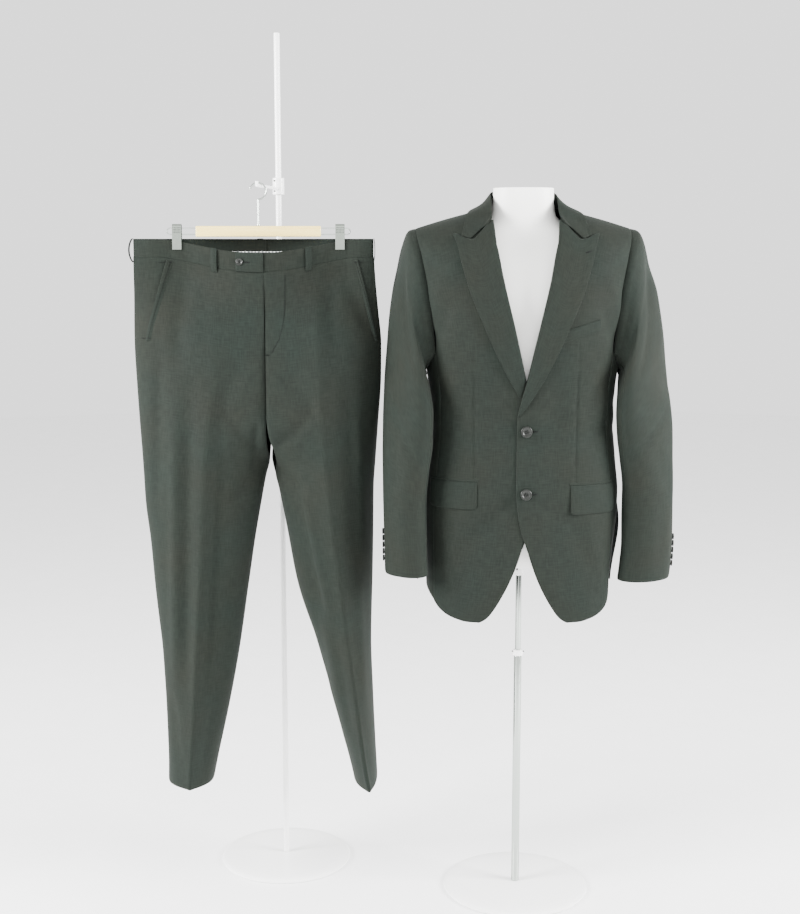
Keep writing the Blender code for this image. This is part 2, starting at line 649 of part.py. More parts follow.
def waist_gap(side, reach):
    """Half the space between the front and the back of the waist: pinched in the clips, open between them."""
    held = CLIP_WIDTH / 2 + 6 * MM
    middle = max(0.0, math.cos(math.pi / 2 * min(abs(reach) / (CLIP_REACH - held), 1.0)))
    past = (reach - CLIP_REACH - held) / (HALF_WAIST[side] - CLIP_REACH - held)
    outside = math.sin(math.pi * min(max(past, 0.0), 1.0))
    return PINCH + WAIST_BELLY * middle ** 1.3 + 4 * MM * outside


def waist_dip(reach):
    return WAIST_DIP * max(0.0, math.cos(math.pi / 2 * min(abs(reach) / 0.20, 1.0))) ** 1.5


def trouser(side, face, u, height):
    """Point of a trouser leg: face is -1 in front and 1 behind; u is 0 at the inner edge, 1 at the side seam."""
    table = LEG[side]
    side_x, crease_x = table("side", height), table("crease", height)
    inner_x = table("inner", height) + SEAM / 2
    if height > CROTCH:
        inner_x = side * CENTRE_FRONT + (table("inner", height) - side * CENTRE_FRONT) + SEAM / 2
    deep = table("front" if face < 0 else "back", height)
    rise = FRONT_RISE if face < 0 else BACK_RISE
    inner_y = deep * 0.93 * math.sin(math.pi / 2 * min(max((height - CROTCH) / rise, 0.0), 1.0))
    share = abs(u - 0.5) * 2
    angle = CREASE_SHARPNESS * (1 - share)
    run = (1 - math.cos(angle)) / (1 - math.cos(CREASE_SHARPNESS))
    bulge = math.sin(angle) / math.sin(CREASE_SHARPNESS)
    if u >= 0.5:
        x = mix(side_x, crease_x, run)
        y = deep * bulge
    else:
        x = mix(inner_x, crease_x, run)
        y = mix(inner_y, deep, bulge)
    y = mix(y, waist_gap(side, abs(x)), ease((height - 1.165) / 0.13))
    return Vector((TROUSERS_X + side * x, face * (y + SEAM / 2), height))


def trouser_panel(side, face):
    def surface(u, v):
        share = u if face < 0 else 1 - u
        hem = LEG[side].rows[0][0]
        reach = abs(trouser(side, face, share, 1.31).x - TROUSERS_X)
        seam = WAIST_TOP - BAND - 1 * MM
        if face < 0:
            seam -= waist_dip(reach)
        return trouser(side, face, share, mix(hem, seam, 1 - (1 - v) ** 1.4))
    return surface


def band_path(side, u):
    """Way round the waist: the centre front at 0, the side at a half and the centre back at 1."""
    half = HALF_WAIST[side]
    start = side * CENTRE_FRONT + SEAM / 2
    if abs(u - 0.5) < 0.06:
        swing = (u - 0.5) / 0.06 * math.pi / 2
        return half - PINCH + PINCH * math.cos(swing), PINCH * math.sin(swing)
    face = -1 if u < 0.5 else 1
    share = u / 0.44 if u < 0.5 else (1 - u) / 0.44
    reach = mix(start, half - PINCH, share)
    return reach, face * waist_gap(side, reach)


def waistband(side):
    def surface(u, v):
        reach, deep = band_path(side, u)
        top = WAIST_TOP - (waist_dip(reach) if deep < 0 else 0.0)
        return Vector((TROUSERS_X + side * reach, deep, top - BAND * (1 - v)))
    return surface


def strip(side, face, middle, width, low, high):
    """A strip lying on the waist: a tab or a belt loop, before the band and the cloth below it."""
    def surface(u, v):
        reach = middle + width * (u - 0.5) * (1 if face < 0 else -1)
        top = WAIST_TOP - (waist_dip(reach) if face < 0 else 0.0)
        return Vector((TROUSERS_X + side * reach, face * waist_gap(side, abs(reach)), top + mix(low, high, v)))
    return surface


def belt_loop(name, side, face, middle, stand):
    """A loop is fixed at its two ends and stands off between them."""
    def rise(u, v):
        return (3.1 + stand * math.sin(math.pi * v) ** 0.5) * MM
    wall(f"belt_loop_{name}", strip(side, face, middle, LOOP_WIDTH, 1 * MM - LOOP_HEIGHT, 1 * MM), 2, 6, side,
         raised=rise, thickness=1.4 * MM)


def side_loop(name, side, stand):
    """The loop on the side seam, seen edge-on: a bow standing off the fold of the waist."""
    def surface(u, v):
        out = HALF_WAIST[side] + (2.6 + stand * math.sin(math.pi * v) ** 0.6) * MM
        across = (u - 0.5) * LOOP_WIDTH
        return Vector((TROUSERS_X + side * out, across, WAIST_TOP + 1 * MM - LOOP_HEIGHT * (1 - v)))
    wall(f"belt_loop_{name}", surface, 2, 8, side, thickness=1.4 * MM)


def faceted(surface, across, along):
    """The same surface as its flat facets give it, for what lies on a coarse panel."""
    def flat(u, v):
        a, b = min(int(u * across), across - 1), min(int(v * along), along - 1)
        s, t = u * across - a, v * along - b
        corner = [[surface((a + i) / across, (b + j) / along) for j in (0, 1)] for i in (0, 1)]
        return corner[0][0].lerp(corner[1][0], s).lerp(corner[0][1].lerp(corner[1][1], s), t)
    return flat


def pocket_edge(side):
    """The stitched edge of the slanting side pocket, lying on the front."""
    panel = faceted(trouser_panel(side, -1), *TROUSER_GRID)

    def surface(u, v):
        along = mix(0.735, 0.985, v)
        return panel(mix(*POCKET_MOUTH[side], v) + 0.04 * (u - 0.5), along)
    return surface


def build_trousers():
    for name, side in SIDES.items():
        wall(f"trouser_front_{name}", trouser_panel(side, -1), *TROUSER_GRID, side)
        wall(f"trouser_back_{name}", trouser_panel(side, 1), *TROUSER_GRID, side)
        wall(f"waistband_{name}", waistband(side), 26, 2, side, thickness=2.0 * MM)
        wall(f"pocket_edge_{name}", pocket_edge(side), 1, 8, side, raised=lambda u, v: mix(5.0, 3.4, v) * MM,
             thickness=1.2 * MM)
        side_loop(f"side_{name}", side, 2.0 if side == 1 else 8.0)
    for name, side, face, reach, stand in LOOPS:
        belt_loop(name, side, face, reach, stand)
    tab_length = 54 * MM
    tab = strip(-1, -1, tab_length / 2 - CENTRE_FRONT, tab_length, -BAND - 1 * MM, 0.5 * MM)
    wall("waist_tab", tab, 6, 2, -1, raised=2.6 * MM, thickness=2.0 * MM)
    spot = tab(0.86, 0.5)
    round_button("waist_button", spot + Vector((0, -3.6 * MM, 0)), Vector((0, -1, 0)), 14.5 * MM, 2.8 * MM, HORN,
                 sides=16)
    curtain_reach = 0.075

    def curtain(u, v):
        reach = mix(-curtain_reach, curtain_reach, u)
        return Vector((TROUSERS_X + reach, waist_gap(1, abs(reach)) - 2.9 * MM, mix(1.300, 1.3245, v)))
    wall("waist_curtain", curtain, 8, 1, -1, material=LINING, thickness=1.0 * MM)


# ---------------------------------------------------------------- form, stands and hanger

def build_form():
    """Torso and neck of the form: level rings joined from the flat bottom to the flat top."""
    mesh = bmesh.new()
    ring_sides = 24
    levels = sorted({row[0] for row in FORM.rows})
    rings = []
    for height in levels:
        circle = bmesh.ops.create_circle(mesh, segments=ring_sides, radius=1.0)["verts"]
        for vertex in circle:
            deep = FORM("front" if vertex.co.y < 0 else "back", height)
            spread = 0.88
            x = math.copysign(abs(vertex.co.x) ** spread, vertex.co.x) * FORM("half_width", height)
            y = math.copysign(abs(vertex.co.y) ** spread, vertex.co.y) * deep
            vertex.co = Vector((x, y + FORM("middle", height), height))
        rings.append({edge for vertex in circle for edge in vertex.link_edges})
    for lower, upper in zip(rings, rings[1:]):
        bmesh.ops.bridge_loops(mesh, edges=list(lower | upper))
    bmesh.ops.holes_fill(mesh, edges=[edge for edge in mesh.edges if edge.is_boundary])
    finish("form_torso", mesh, SHELL)
    cylinder("form_socket", (0, 0), 10 * MM, FORM_BOTTOM - SEAM - 30 * MM, FORM_BOTTOM - SEAM, ENAMEL, sides=16,
             edge=1 * MM)
    socket_foot = FORM_BOTTOM - 2 * SEAM - 30 * MM
    cylinder("form_pole_upper", (0, 0), POLE_UPPER, POLE_STEP + 6 * MM + SEAM, socket_foot, CHROME, sides=20)
    cylinder("form_pole_collar", (0, 0), 10.5 * MM, POLE_STEP - 6 * MM, POLE_STEP + 6 * MM, ENAMEL, sides=16,
             edge=1.5 * MM)
    cylinder("form_pole_lower", (0, 0), POLE_LOWER, BASE_HEIGHT + SEAM, POLE_STEP - 6 * MM - SEAM, CHROME, sides=20)
    cylinder("form_base", (0, 0), BASE_RADIUS, 0.0, BASE_HEIGHT, ENAMEL, sides=36, edge=3 * MM)


def build_stand():
    spot = (STAND_X, STAND_Y)
    cylinder("stand_base", spot, 0.140, 0.0, BASE_HEIGHT, ENAMEL, sides=36, edge=3 * MM)
    cylinder("stand_pole", spot, STAND_POLE, BASE_HEIGHT + SEAM, STAND_TOP, ENAMEL, sides=20, edge=1.5 * MM)
    ring = bmesh.new()
    inner = STAND_POLE + SEAM
    bmesh.ops.create_circle(ring, segments=20, radius=inner)
    lower = ring.edges[:]
    wider = bmesh.ops.extrude_edge_only(ring, edges=lower)["geom"]
    outer = [item for item in wider if isinstance(item, bmesh.types.BMVert)]
    bmesh.ops.scale(ring, verts=outer, vec=(12 * MM / inner, 12 * MM / inner, 1))
    raised = bmesh.ops.extrude_face_region(ring, geom=ring.faces[:])["geom"]
    top = [item for item in raised if isinstance(item, bmesh.types.BMVert)]
    bmesh.ops.translate(ring, verts=top, vec=(0, 0, 34 * MM))
    bmesh.ops.translate(ring, verts=ring.verts, vec=(STAND_X, STAND_Y, ARM_HEIGHT - 12 * MM))
    finish("stand_clamp", ring, ENAMEL)
    tip = Vector((TROUSERS_X, -0.018, ARM_HEIGHT))
    root = Vector((STAND_X, STAND_Y, ARM_HEIGHT))
    root += (tip - root).normalized() * (12.5 * MM)
    wire("stand_arm", [root, root.lerp(tip, 0.5), tip, tip + Vector((0, -2 * MM, 8 * MM))], 3.2 * MM, ENAMEL)


def build_hanger():
    half = BAR_LENGTH / 2
    box("hanger_bar", (TROUSERS_X - half, -BAR_DEPTH / 2, BAR_Z - BAR_HEIGHT / 2),
        (TROUSERS_X + half, BAR_DEPTH / 2, BAR_Z + BAR_HEIGHT / 2), BEECH, edge=2 * MM)
    top = BAR_Z + BAR_HEIGHT / 2 + SEAM
    rest = ARM_HEIGHT + 3.2 * MM + SEAM + HOOK_WIRE
    centre = Vector((TROUSERS_X, 0, rest - HOOK_RADIUS))
    stem = [Vector((TROUSERS_X, 0, mix(top, centre.z - HOOK_RADIUS - 3 * MM, i / 3))) for i in range(4)]
    arc = [centre + HOOK_RADIUS * Vector((math.cos(a), 0, math.sin(a)))
           for a in (math.radians(mix(-90, 165, i / 15)) for i in range(16))]
    wire("hanger_hook", stem + arc, HOOK_WIRE, CHROME)
    for name, side in SIDES.items():
        start = TROUSERS_X + side * (half + SEAM)
        end = TROUSERS_X + side * (CLIP_REACH + 14 * MM)
        upper, lower = BAR_Z + 6 * MM, BAR_Z - 6 * MM
        bend = [Vector((end + side * 6 * MM * math.sin(a), 0, BAR_Z + 6 * MM * math.cos(a)))
                for a in (math.pi * i / 6 for i in range(7))]
        wire(f"hanger_wire_{name}", [Vector((start, 0, upper))] + bend + [Vector((start, 0, lower))], WIRE, CHROME)
        clip(name, side)


def clip(name, side):
    """A sprung clip: a bent strip over the wires whose two jaws close on the waistband."""
    profile = []
    inside, sheet = PINCH + 1.4 * MM, 1.0 * MM
    crown, jaw = 1.381, 1.331
    outer = inside + sheet
    turns = [math.pi * i / 8 for i in range(9)]
    profile += [(-outer * math.cos(a), crown - outer + outer * math.sin(a)) for a in turns]
    profile += [(outer, jaw), (inside, jaw)]
    profile += [(inside * math.cos(a), crown - outer + inside * math.sin(a)) for a in turns]
    profile += [(-inside, jaw), (-outer, jaw)]
    mesh = bmesh.new()
    middle = TROUSERS_X + side * CLIP_REACH
    corners = [mesh.verts.new((middle - CLIP_WIDTH / 2, y, z)) for y, z in profile]
    plate = mesh.faces.new(corners)
    pulled = bmesh.ops.extrude_face_region(mesh, geom=[plate])["geom"]
    moved = [item for item in pulled if isinstance(item, bmesh.types.BMVert)]
    bmesh.ops.translate(mesh, verts=moved, vec=(CLIP_WIDTH, 0, 0))
    finish(f"hanger_clip_{name}", mesh, CHROME, smooth=30)


# ---------------------------------------------------------------- the part

for leftover in list(bpy.data.objects):
    bpy.data.objects.remove(leftover)
SUIT = bpy.data.collections.new("two_piece_suit")
bpy.context.scene.collection.children.link(SUIT)
WOOL = coat("worsted wool", (0.036, 0.042, 0.040), 0.85)
LINING = coat("pocket lining", (0.32, 0.33, 0.33), 0.7)
HORN = coat("horn button", (0.012, 0.014, 0.013), 0.28)
SHELL = coat("white form shell", (0.86, 0.86, 0.85), 0.55)
CHROME = coat("chromed steel", (0.62, 0.64, 0.62), 0.18, 1.0)
ENAMEL = coat("white enamel", (0.85, 0.85, 0.85), 0.4)
BEECH = coat("beech", (0.78, 0.62, 0.38), 0.5)
build_jacket()
build_trousers()
build_form()
build_stand()
build_hanger()
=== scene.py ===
"""Two-piece suit: a jacket on a dress form and trousers on a clip hanger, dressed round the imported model."""
import math

import bmesh
import bpy
from mathutils import Matrix, Vector, noise


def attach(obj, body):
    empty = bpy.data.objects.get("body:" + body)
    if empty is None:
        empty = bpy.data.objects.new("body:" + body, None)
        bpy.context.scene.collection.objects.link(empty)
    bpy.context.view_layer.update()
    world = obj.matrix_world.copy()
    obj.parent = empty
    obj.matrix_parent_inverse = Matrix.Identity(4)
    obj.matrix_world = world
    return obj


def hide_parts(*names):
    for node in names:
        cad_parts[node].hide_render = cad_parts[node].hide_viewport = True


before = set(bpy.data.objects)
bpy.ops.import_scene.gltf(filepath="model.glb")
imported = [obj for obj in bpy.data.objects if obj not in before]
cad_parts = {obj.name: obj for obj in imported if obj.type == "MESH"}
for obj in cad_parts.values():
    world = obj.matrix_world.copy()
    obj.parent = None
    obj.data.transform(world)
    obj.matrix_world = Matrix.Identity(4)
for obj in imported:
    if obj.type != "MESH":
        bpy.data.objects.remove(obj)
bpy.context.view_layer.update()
MM = 0.001


# ---------------------------------------------------------------- the room
# A white studio: a long lens at chest height looking slightly down, a big soft light on each side so that
# the cloth's folds turn from light to dark, a weak one in front, and a white floor that runs to the back.

def put(name, data):
    """An object in the scene, made of data."""
    item = bpy.data.objects.new(name, data)
    bpy.context.scene.collection.objects.link(item)
    return item


lens = bpy.data.cameras.new("camera")
lens.lens, lens.sensor_width = 55.14, 36.0
camera = put("camera", lens)
camera.location = (-0.243, -2.8, 1.33)
camera.rotation_euler = (math.radians(81.59), 0, 0)
bpy.context.scene.camera = camera

for name, spot, aim, width, power in (
    ("light_left", (-3.0, -1.2, 1.9), (-0.4, 0, 0.9), 1.4, 430.0),
    ("light_right", (2.6, -1.0, 1.9), (0, 0, 0.9), 1.4, 400.0),
    ("light_front", (-0.2, -3.6, 2.6), (-0.25, 0, 0.8), 2.4, 45.0),
):
    data = bpy.data.lights.new(name, "AREA")
    data.shape, data.size, data.energy = "SQUARE", width, power
    light = put(name, data)
    light.location = spot
    light.rotation_euler = (Vector(aim) - Vector(spot)).to_track_quat("-Z", "Y").to_euler()

world = bpy.data.worlds.new("studio")
world.use_nodes = True
sky = world.node_tree.nodes["Background"].inputs
sky["Color"].default_value = (1.0, 1.0, 1.0, 1.0)
sky["Strength"].default_value = 1.85
bpy.context.scene.world = world


def srgb(text):
    """Linear colour of a six-figure sRGB hex value."""
    parts = [int(text[i:i + 2], 16) / 255 for i in (0, 2, 4)]
    return (*(c / 12.92 if c <= 0.04045 else ((c + 0.055) / 1.055) ** 2.4 for c in parts), 1.0)


def new_material(name, colour, roughness, **sockets):
    """A material with its main finish set on the shader's own sockets."""
    material = bpy.data.materials.new(name)
    material.use_nodes = True
    shader = material.node_tree.nodes["Principled BSDF"]
    shader.inputs["Base Color"].default_value = srgb(colour)
    shader.inputs["Roughness"].default_value = roughness
    for socket, value in sockets.items():
        shader.inputs[socket.replace("_", " ")].default_value = value
    return material


def add(material, kind, settings=None, **links):
    """Adds a node. A link is a number, a colour or (node, output name); _ stands for a socket's space."""
    tree = material.node_tree
    node = tree.nodes.new(kind)
    for key, value in (settings or {}).items():
        setattr(node, key, value)
    for key, value in links.items():
        key = int(key[1:]) if key[0] == "i" and key[1:].isdigit() else key.replace("_", " ")
        if isinstance(value, tuple) and isinstance(value[0], bpy.types.Node):
            tree.links.new(value[0].outputs[value[1]], node.inputs[key])
        else:
            node.inputs[key].default_value = value
    return node


def feed(material, socket, node, output):
    shader = material.node_tree.nodes["Principled BSDF"]
    material.node_tree.links.new(node.outputs[output], shader.inputs[socket])


def emboss(material, pattern, strength, depth, output="Fac"):
    """Raises the surface by a pattern, depth metres high at most."""
    bump = add(material, "ShaderNodeBump", Strength=strength, Distance=depth, Height=(pattern, output))
    feed(material, "Normal", bump, "Normal")


def blend(material, pattern, first, second, output="Fac"):
    """A colour that goes from one hex value to another with the pattern."""
    return add(material, "ShaderNodeMix", {"data_type": "RGBA"}, Factor=(pattern, output), A=srgb(first),
               B=srgb(second))


def objectwise(material):
    """The place on the piece, in metres, for a pattern that runs through the whole of it."""
    return add(material, "ShaderNodeTexCoord"), "Object"


# The floor is painted board: matt, white, with the faintest mottle of a roller.
studio_paint = new_material("matt studio paint", "F7F7F7", 0.8)
mottle = add(studio_paint, "ShaderNodeTexNoise", Vector=objectwise(studio_paint), Scale=9.0, Detail=3.0)
feed(studio_paint, "Base Color", blend(studio_paint, mottle, "F4F4F4", "FAFAFA"), "Result")
ground = bmesh.new()
bmesh.ops.create_circle(ground, cap_ends=True, segments=48, radius=9.0)
data = bpy.data.meshes.new("floor")
ground.to_mesh(data)
ground.free()
data.materials.append(studio_paint)
put("floor", data)


# ---------------------------------------------------------------- jacket fronts, sides and backs
# Six panels of worsted suiting, canvassed in front, seamed under the arms and down the middle of the back.
# The fronts are cut away at the hem, a dart shapes each under the breast, and the side seams end in vents.

class Table:
    """Rows of sizes under named columns, sorted by the first one; values run smoothly between rows."""

    def __init__(self, columns, *rows):
        self.columns = columns.split()
        self.rows = sorted(rows)

    def slope(self, i, k):
        if i == 0 or i == len(self.rows) - 1:
            return None
        before, here, after = self.rows[i - 1], self.rows[i], self.rows[i + 1]
        down = (here[k] - before[k]) / (here[0] - before[0])
        up = (after[k] - here[k]) / (after[0] - here[0])
        return 0.0 if down * up <= 0 else 2 * down * up / (down + up)

    def __call__(self, column, place):
        k = self.columns.index(column)
        rows = self.rows
        place = min(max(place, rows[0][0]), rows[-1][0])
        i = max(n for n in range(len(rows) - 1) if rows[n][0] <= place)
        start, end = rows[i], rows[i + 1]
        width = end[0] - start[0]
        t = (place - start[0]) / width
        chord = (end[k] - start[k]) / width
        leave = self.slope(i, k)
        arrive = self.slope(i + 1, k)
        leave = chord if leave is None else leave
        arrive = chord if arrive is None else arrive
        smooth = t * t * (3 - 2 * t)
        bend = width * (leave * t * (1 - t) ** 2 - arrive * t * t * (1 - t))
        return start[k] + (end[k] - start[k]) * smooth + bend


def mix(a, b, t):
    return a + (b - a) * t


def ease(t):
    t = min(max(t, 0.0), 1.0)
    return t * t * (3 - 2 * t)


SEAM = 0.3 * MM
SIDES = {"left": 1, "right": -1}
TORSO = Table(              # level by level: half width, and reach before and behind the middle
    "height half_width front back middle",
    (0.580, 0.196, 0.116, 0.118, 0.000),
    (0.660, 0.199, 0.119, 0.119, 0.000),
    (0.750, 0.200, 0.122, 0.118, 0.000),
    (0.850, 0.196, 0.124, 0.112, 0.000),
    (0.930, 0.188, 0.120, 0.100, 0.000),
    (0.985, 0.184, 0.118, 0.093, 0.000),
    (1.060, 0.186, 0.123, 0.100, 0.000),
    (1.120, 0.194, 0.130, 0.110, 0.000),
    (1.180, 0.201, 0.133, 0.116, 0.001),
    (1.245, 0.210, 0.128, 0.116, 0.003),
    (1.310, 0.224, 0.117, 0.110, 0.006),
    (1.372, 0.238, 0.105, 0.100, 0.010),
    (1.450, 0.240, 0.098, 0.092, 0.012),
)
SQUARENESS = 0.80
SHOULDER = Table(
    "reach height",
    (0.000, 1.430), (0.035, 1.426), (0.069, 1.414), (0.103, 1.404), (0.158, 1.389), (0.213, 1.372),
    (0.245, 1.362),
)
SHOULDER_ROUND = 0.075
UNDERARM = 1.100
ARMHOLE_CORNER = 1.132
FRONT_SEAM = 60.0
BACK_SEAM = Table(
    "height turn",
    (0.600, 88.0), (0.800, 89.0), (0.875, 97.0), (0.950, 106.0), (1.050, 116.0), (1.132, 120.0),
    (1.450, 120.0),
)
FRONT_EDGE = Table(
    "height reach",
    (0.596, 0.106), (0.602, 0.084), (0.612, 0.070), (0.628, 0.058), (0.650, 0.045), (0.680, 0.030),
    (0.715, 0.016), (0.750, 0.005), (0.785, -0.007), (0.820, -0.014), (0.870, -0.018), (1.005, -0.017),
    (1.040, -0.010), (1.080, 0.000), (1.120, 0.009), (1.190, 0.025), (1.270, 0.044), (1.340, 0.058),
    (1.365, 0.067), (1.390, 0.077), (1.430, 0.084),
)
HEM = Table(
    "turn height",
    (0.0, 0.600), (32.0, 0.601), (42.0, 0.606), (49.0, 0.613), (55.0, 0.624), (62.0, 0.640), (78.0, 0.653),
    (110.0, 0.661), (180.0, 0.664),
)
BACK_HEM = 0.665
BACK_NECK = 1.410
LAP = 3.0 * MM
VENT_TOP = 0.875
TUCK = {1: 26 * MM, -1: 9 * MM}
BACK_TUCK = {1: 16 * MM, -1: 0.0}
FLARE = {1: 4 * MM, -1: 10 * MM}
BODY_ROWS = (5, 3, 3, 3)

# Folds of the fronts, in mm across and up: from, to, width and depth. Minus is a ridge. The depths of the
# fronts, the sleeves and the legs are multiplied, each by its own number, to the fullness the cloth has.
FRONT_FULLNESS, SLEEVE_FULLNESS, LEG_FULLNESS = 1.5, 1.5, 2.8
FRONT_FOLDS = {
    1: ((100, 1106, 98, 890, 2.6, 1.3),             # dart
        (6, 951, 72, 1010, 9, 2.6), (44, 1010, 70, 1054, 10, 1.2), (62, 1004, 108, 1040, 13, 1.6),
        (10, 975, 84, 962, 12, -1.0),
        (120, 1032, 172, 1098, 14, 2.4), (100, 990, 168, 1046, 15, -1.6), (118, 962, 176, 1002, 12, 1.8),
        (16, 866, 70, 892, 12, 1.1), (20, 848, 90, 800, 16, 1.2), (88, 806, 150, 690, 22, 1.8),
        (128, 790, 166, 660, 20, -1.8), (148, 1210, 190, 1130, 15, 2.6), (160, 1270, 196, 1190, 12, -1.6),
        (40, 740, 64, 650, 16, -1.0)),
    -1: ((100, 1106, 98, 890, 2.6, 1.3),            # dart
         (25, 846, 122, 749, 13, 2.8), (12, 990, 66, 1012, 10, 1.2), (70, 1010, 128, 1060, 15, 1.8),
         (8, 970, 76, 950, 11, -0.9),
         (124, 1000, 172, 1060, 14, 2.0), (110, 1044, 172, 1100, 12, -1.5), (18, 858, 84, 872, 12, 1.0),
         (24, 842, 80, 776, 18, 1.3), (70, 800, 124, 680, 24, 1.8), (120, 800, 158, 640, 18, -2.0),
         (150, 1220, 188, 1136, 14, 2.4), (136, 1300, 186, 1230, 16, -1.4), (40, 730, 74, 640, 18, 1.2)),
}
SIDE_FOLDS = ((70, 1040, 108, 1000, 10, 1.6), (68, 975, 108, 990, 9, 1.4), (74, 900, 92, 720, 10, -1.2))
BACK_FOLDS = {
    1: ((20, 1330, 96, 1372, 14, 1.6), (150, 1180, 168, 1010, 16, 2.2), (60, 1000, 150, 972, 12, 1.5),
        (40, 958, 130, 946, 10, 1.2), (120, 860, 128, 690, 20, 1.6), (60, 840, 48, 690, 18, -1.2)),
    -1: ((24, 1322, 104, 1366, 13, 1.4), (146, 1196, 170, 1020, 18, 2.4), (50, 1012, 156, 986, 13, 1.7),
         (36, 962, 120, 940, 11, 1.1), (128, 850, 120, 700, 17, 1.4), (56, 830, 60, 700, 20, -1.3)),
}


def shoulder_fade(reach, height):
    """1 on the upright cloth, falling as a quarter circle to 0 on the shoulder line."""
    below = (SHOULDER("height", reach) - height) / SHOULDER_ROUND
    below = min(max(below, 0.0), 1.0)
    return math.sqrt(1 - (1 - below) ** 2)


def reach_at(turn, height):
    wave = math.sin(math.radians(turn))
    return TORSO("half_width", height) * math.copysign(abs(wave) ** SQUARENESS, wave)


def turn_at(reach, height):
    share = min(abs(reach) / TORSO("half_width", height), 1.0) ** (1 / SQUARENESS)
    return math.copysign(math.degrees(math.asin(share)), reach)


def torso(side, turn, height):
    """Point of the jacket body: turn is 0 at the centre front, 90 at the side, 180 at the centre back."""
    reach = reach_at(turn, height)
    face = math.cos(math.radians(turn))
    deep = TORSO("front" if face > 0 else "back", height) * abs(face) ** SQUARENESS
    deep = deep * shoulder_fade(abs(reach), height) + SEAM / 2
    return Vector((side * reach, TORSO("middle", height) - math.copysign(deep, face), height))


def tucked(side, turn, height):
    """The body where the side hangs inside the vent: drawn in towards the hem."""
    point = torso(side, turn, height)
    amount = TUCK[side] * ease((VENT_TOP - height) / 0.22) * ease((turn - 50) / 38)
    point.x -= side * amount
    return point


def level(row, low, corner, high):
    """Height of a row of the body, shared by every panel so that the seams meet."""
    hem, waist, chest, shoulder = BODY_ROWS
    if row <= hem:
        return mix(low, VENT_TOP, (row / hem) ** 2)
    if row <= hem + waist:
        return mix(VENT_TOP, corner, (row - hem) / waist)
    if row <= hem + waist + chest:
        return mix(corner, high - SHOULDER_ROUND, (row - hem - waist) / chest)
    share = (row - hem - waist - chest) / shoulder
    return high - SHOULDER_ROUND * (1 - math.sin(share * math.pi / 2))


def top_of(reach_of):
    """Height at which a line of cloth, whose reach depends on height, meets the shoulder line."""
    height = 1.39
    for _ in range(6):
        height = SHOULDER("height", reach_of(height))
    return height


def front_turn(u, height):
    inner = turn_at(FRONT_EDGE("reach", height), height)
    return mix(inner, FRONT_SEAM - 0.05, u)


def front_point(side, turn, height):
    """Left front lies over the right one where they lap."""
    point = tucked(side, turn, height)
    if side == 1:
        reach = abs(reach_at(turn, height)) if turn > 0 else 0.0
        point.y -= LAP * (1 - ease((reach - 0.018) / 0.040)) * (1 - ease((height - 1.06) / 0.06))
    return point


def front(side, u, v):
    low = HEM("height", mix(25.0, FRONT_SEAM, u))
    high = top_of(lambda height: reach_at(front_turn(u, height), height))
    height = level(v * sum(BODY_ROWS), low, ARMHOLE_CORNER, high)
    return front_point(side, front_turn(u, height), height)


def side_top(turn):
    """The bottom of the armhole, between the two seams under the arm."""
    return UNDERARM + (ARMHOLE_CORNER - UNDERARM) * abs((turn - 90) / 30) ** 2.2


def vent_gap(height):
    """Half the space at the back seam, in degrees of turn: a seam, opening where the vent begins."""
    return 0.05 + 0.5 * ease((VENT_TOP - height) / 0.05)


def side_body(side, u, v):
    low = HEM("height", mix(FRONT_SEAM, BACK_SEAM("turn", 0.6), u))
    corner = side_top(mix(FRONT_SEAM, BACK_SEAM("turn", ARMHOLE_CORNER), u))
    height = level(v * sum(BODY_ROWS[:2]), low, corner, 0)
    return tucked(side, mix(FRONT_SEAM + 0.05, BACK_SEAM("turn", height) - vent_gap(height), u), height)


def back(side, u, v):
    """From the side seam to the middle seam. Below the vent's top its edge stands outside the side."""
    def turn_of(height):
        return mix(BACK_SEAM("turn", height) + vent_gap(height), 180 - 0.05, u)

    high = 1.39
    for _ in range(6):
        reach = reach_at(turn_of(high), high)
        high = min(SHOULDER("height", reach), BACK_NECK + 0.006 * (reach / 0.084) ** 4)
    height = level(v * sum(BODY_ROWS), BACK_HEM, ARMHOLE_CORNER, high)
    turn = turn_of(height)
    point = torso(side, turn, height)
    point.x += side * FLARE[side] * ease((VENT_TOP - height) / 0.12) * ease((140 - turn) / 40)
    point.x -= side * BACK_TUCK[side] * ease((0.80 - height) / 0.14) * ease((150 - turn) / 50)
    return point


def folds(rows, across, up):
    """How far the folds given in mm push the cloth in at one place; each fades out at its two ends."""
    depth = 0.0
    for x0, z0, x1, z1, width, deep in rows:
        run = ((x1 - x0) ** 2 + (z1 - z0) ** 2) or 1.0
        t = ((across - x0) * (x1 - x0) + (up - z0) * (z1 - z0)) / run
        if -0.3 < t < 1.3:
            away = ((across - x0) * (z1 - z0) - (up - z0) * (x1 - x0)) ** 2 / run
            if away < 9 * width * width:
                depth += deep * math.exp(-away / width ** 2) * ease((t + 0.3) / 0.5) * ease((1.3 - t) / 0.5)
    return depth * MM


def slack(point, size=0.06, deep=0.7 * MM):
    """The small unevenness that any hanging cloth has."""
    return deep * noise.noise(point / size)


def crowd(step, count):
    """Grid lines along a piece: the first and last turn under, and the next crowd where the cloth rolls."""
    near = max(min(step, count - step) - 1, 0)
    half = count / 2 - 1
    at = near * 0.4 if near <= 2 else 0.8 + (near - 2) * (half - 0.8) / (half - 2)
    share = at / half / 2
    return share if step <= count / 2 else 1 - share


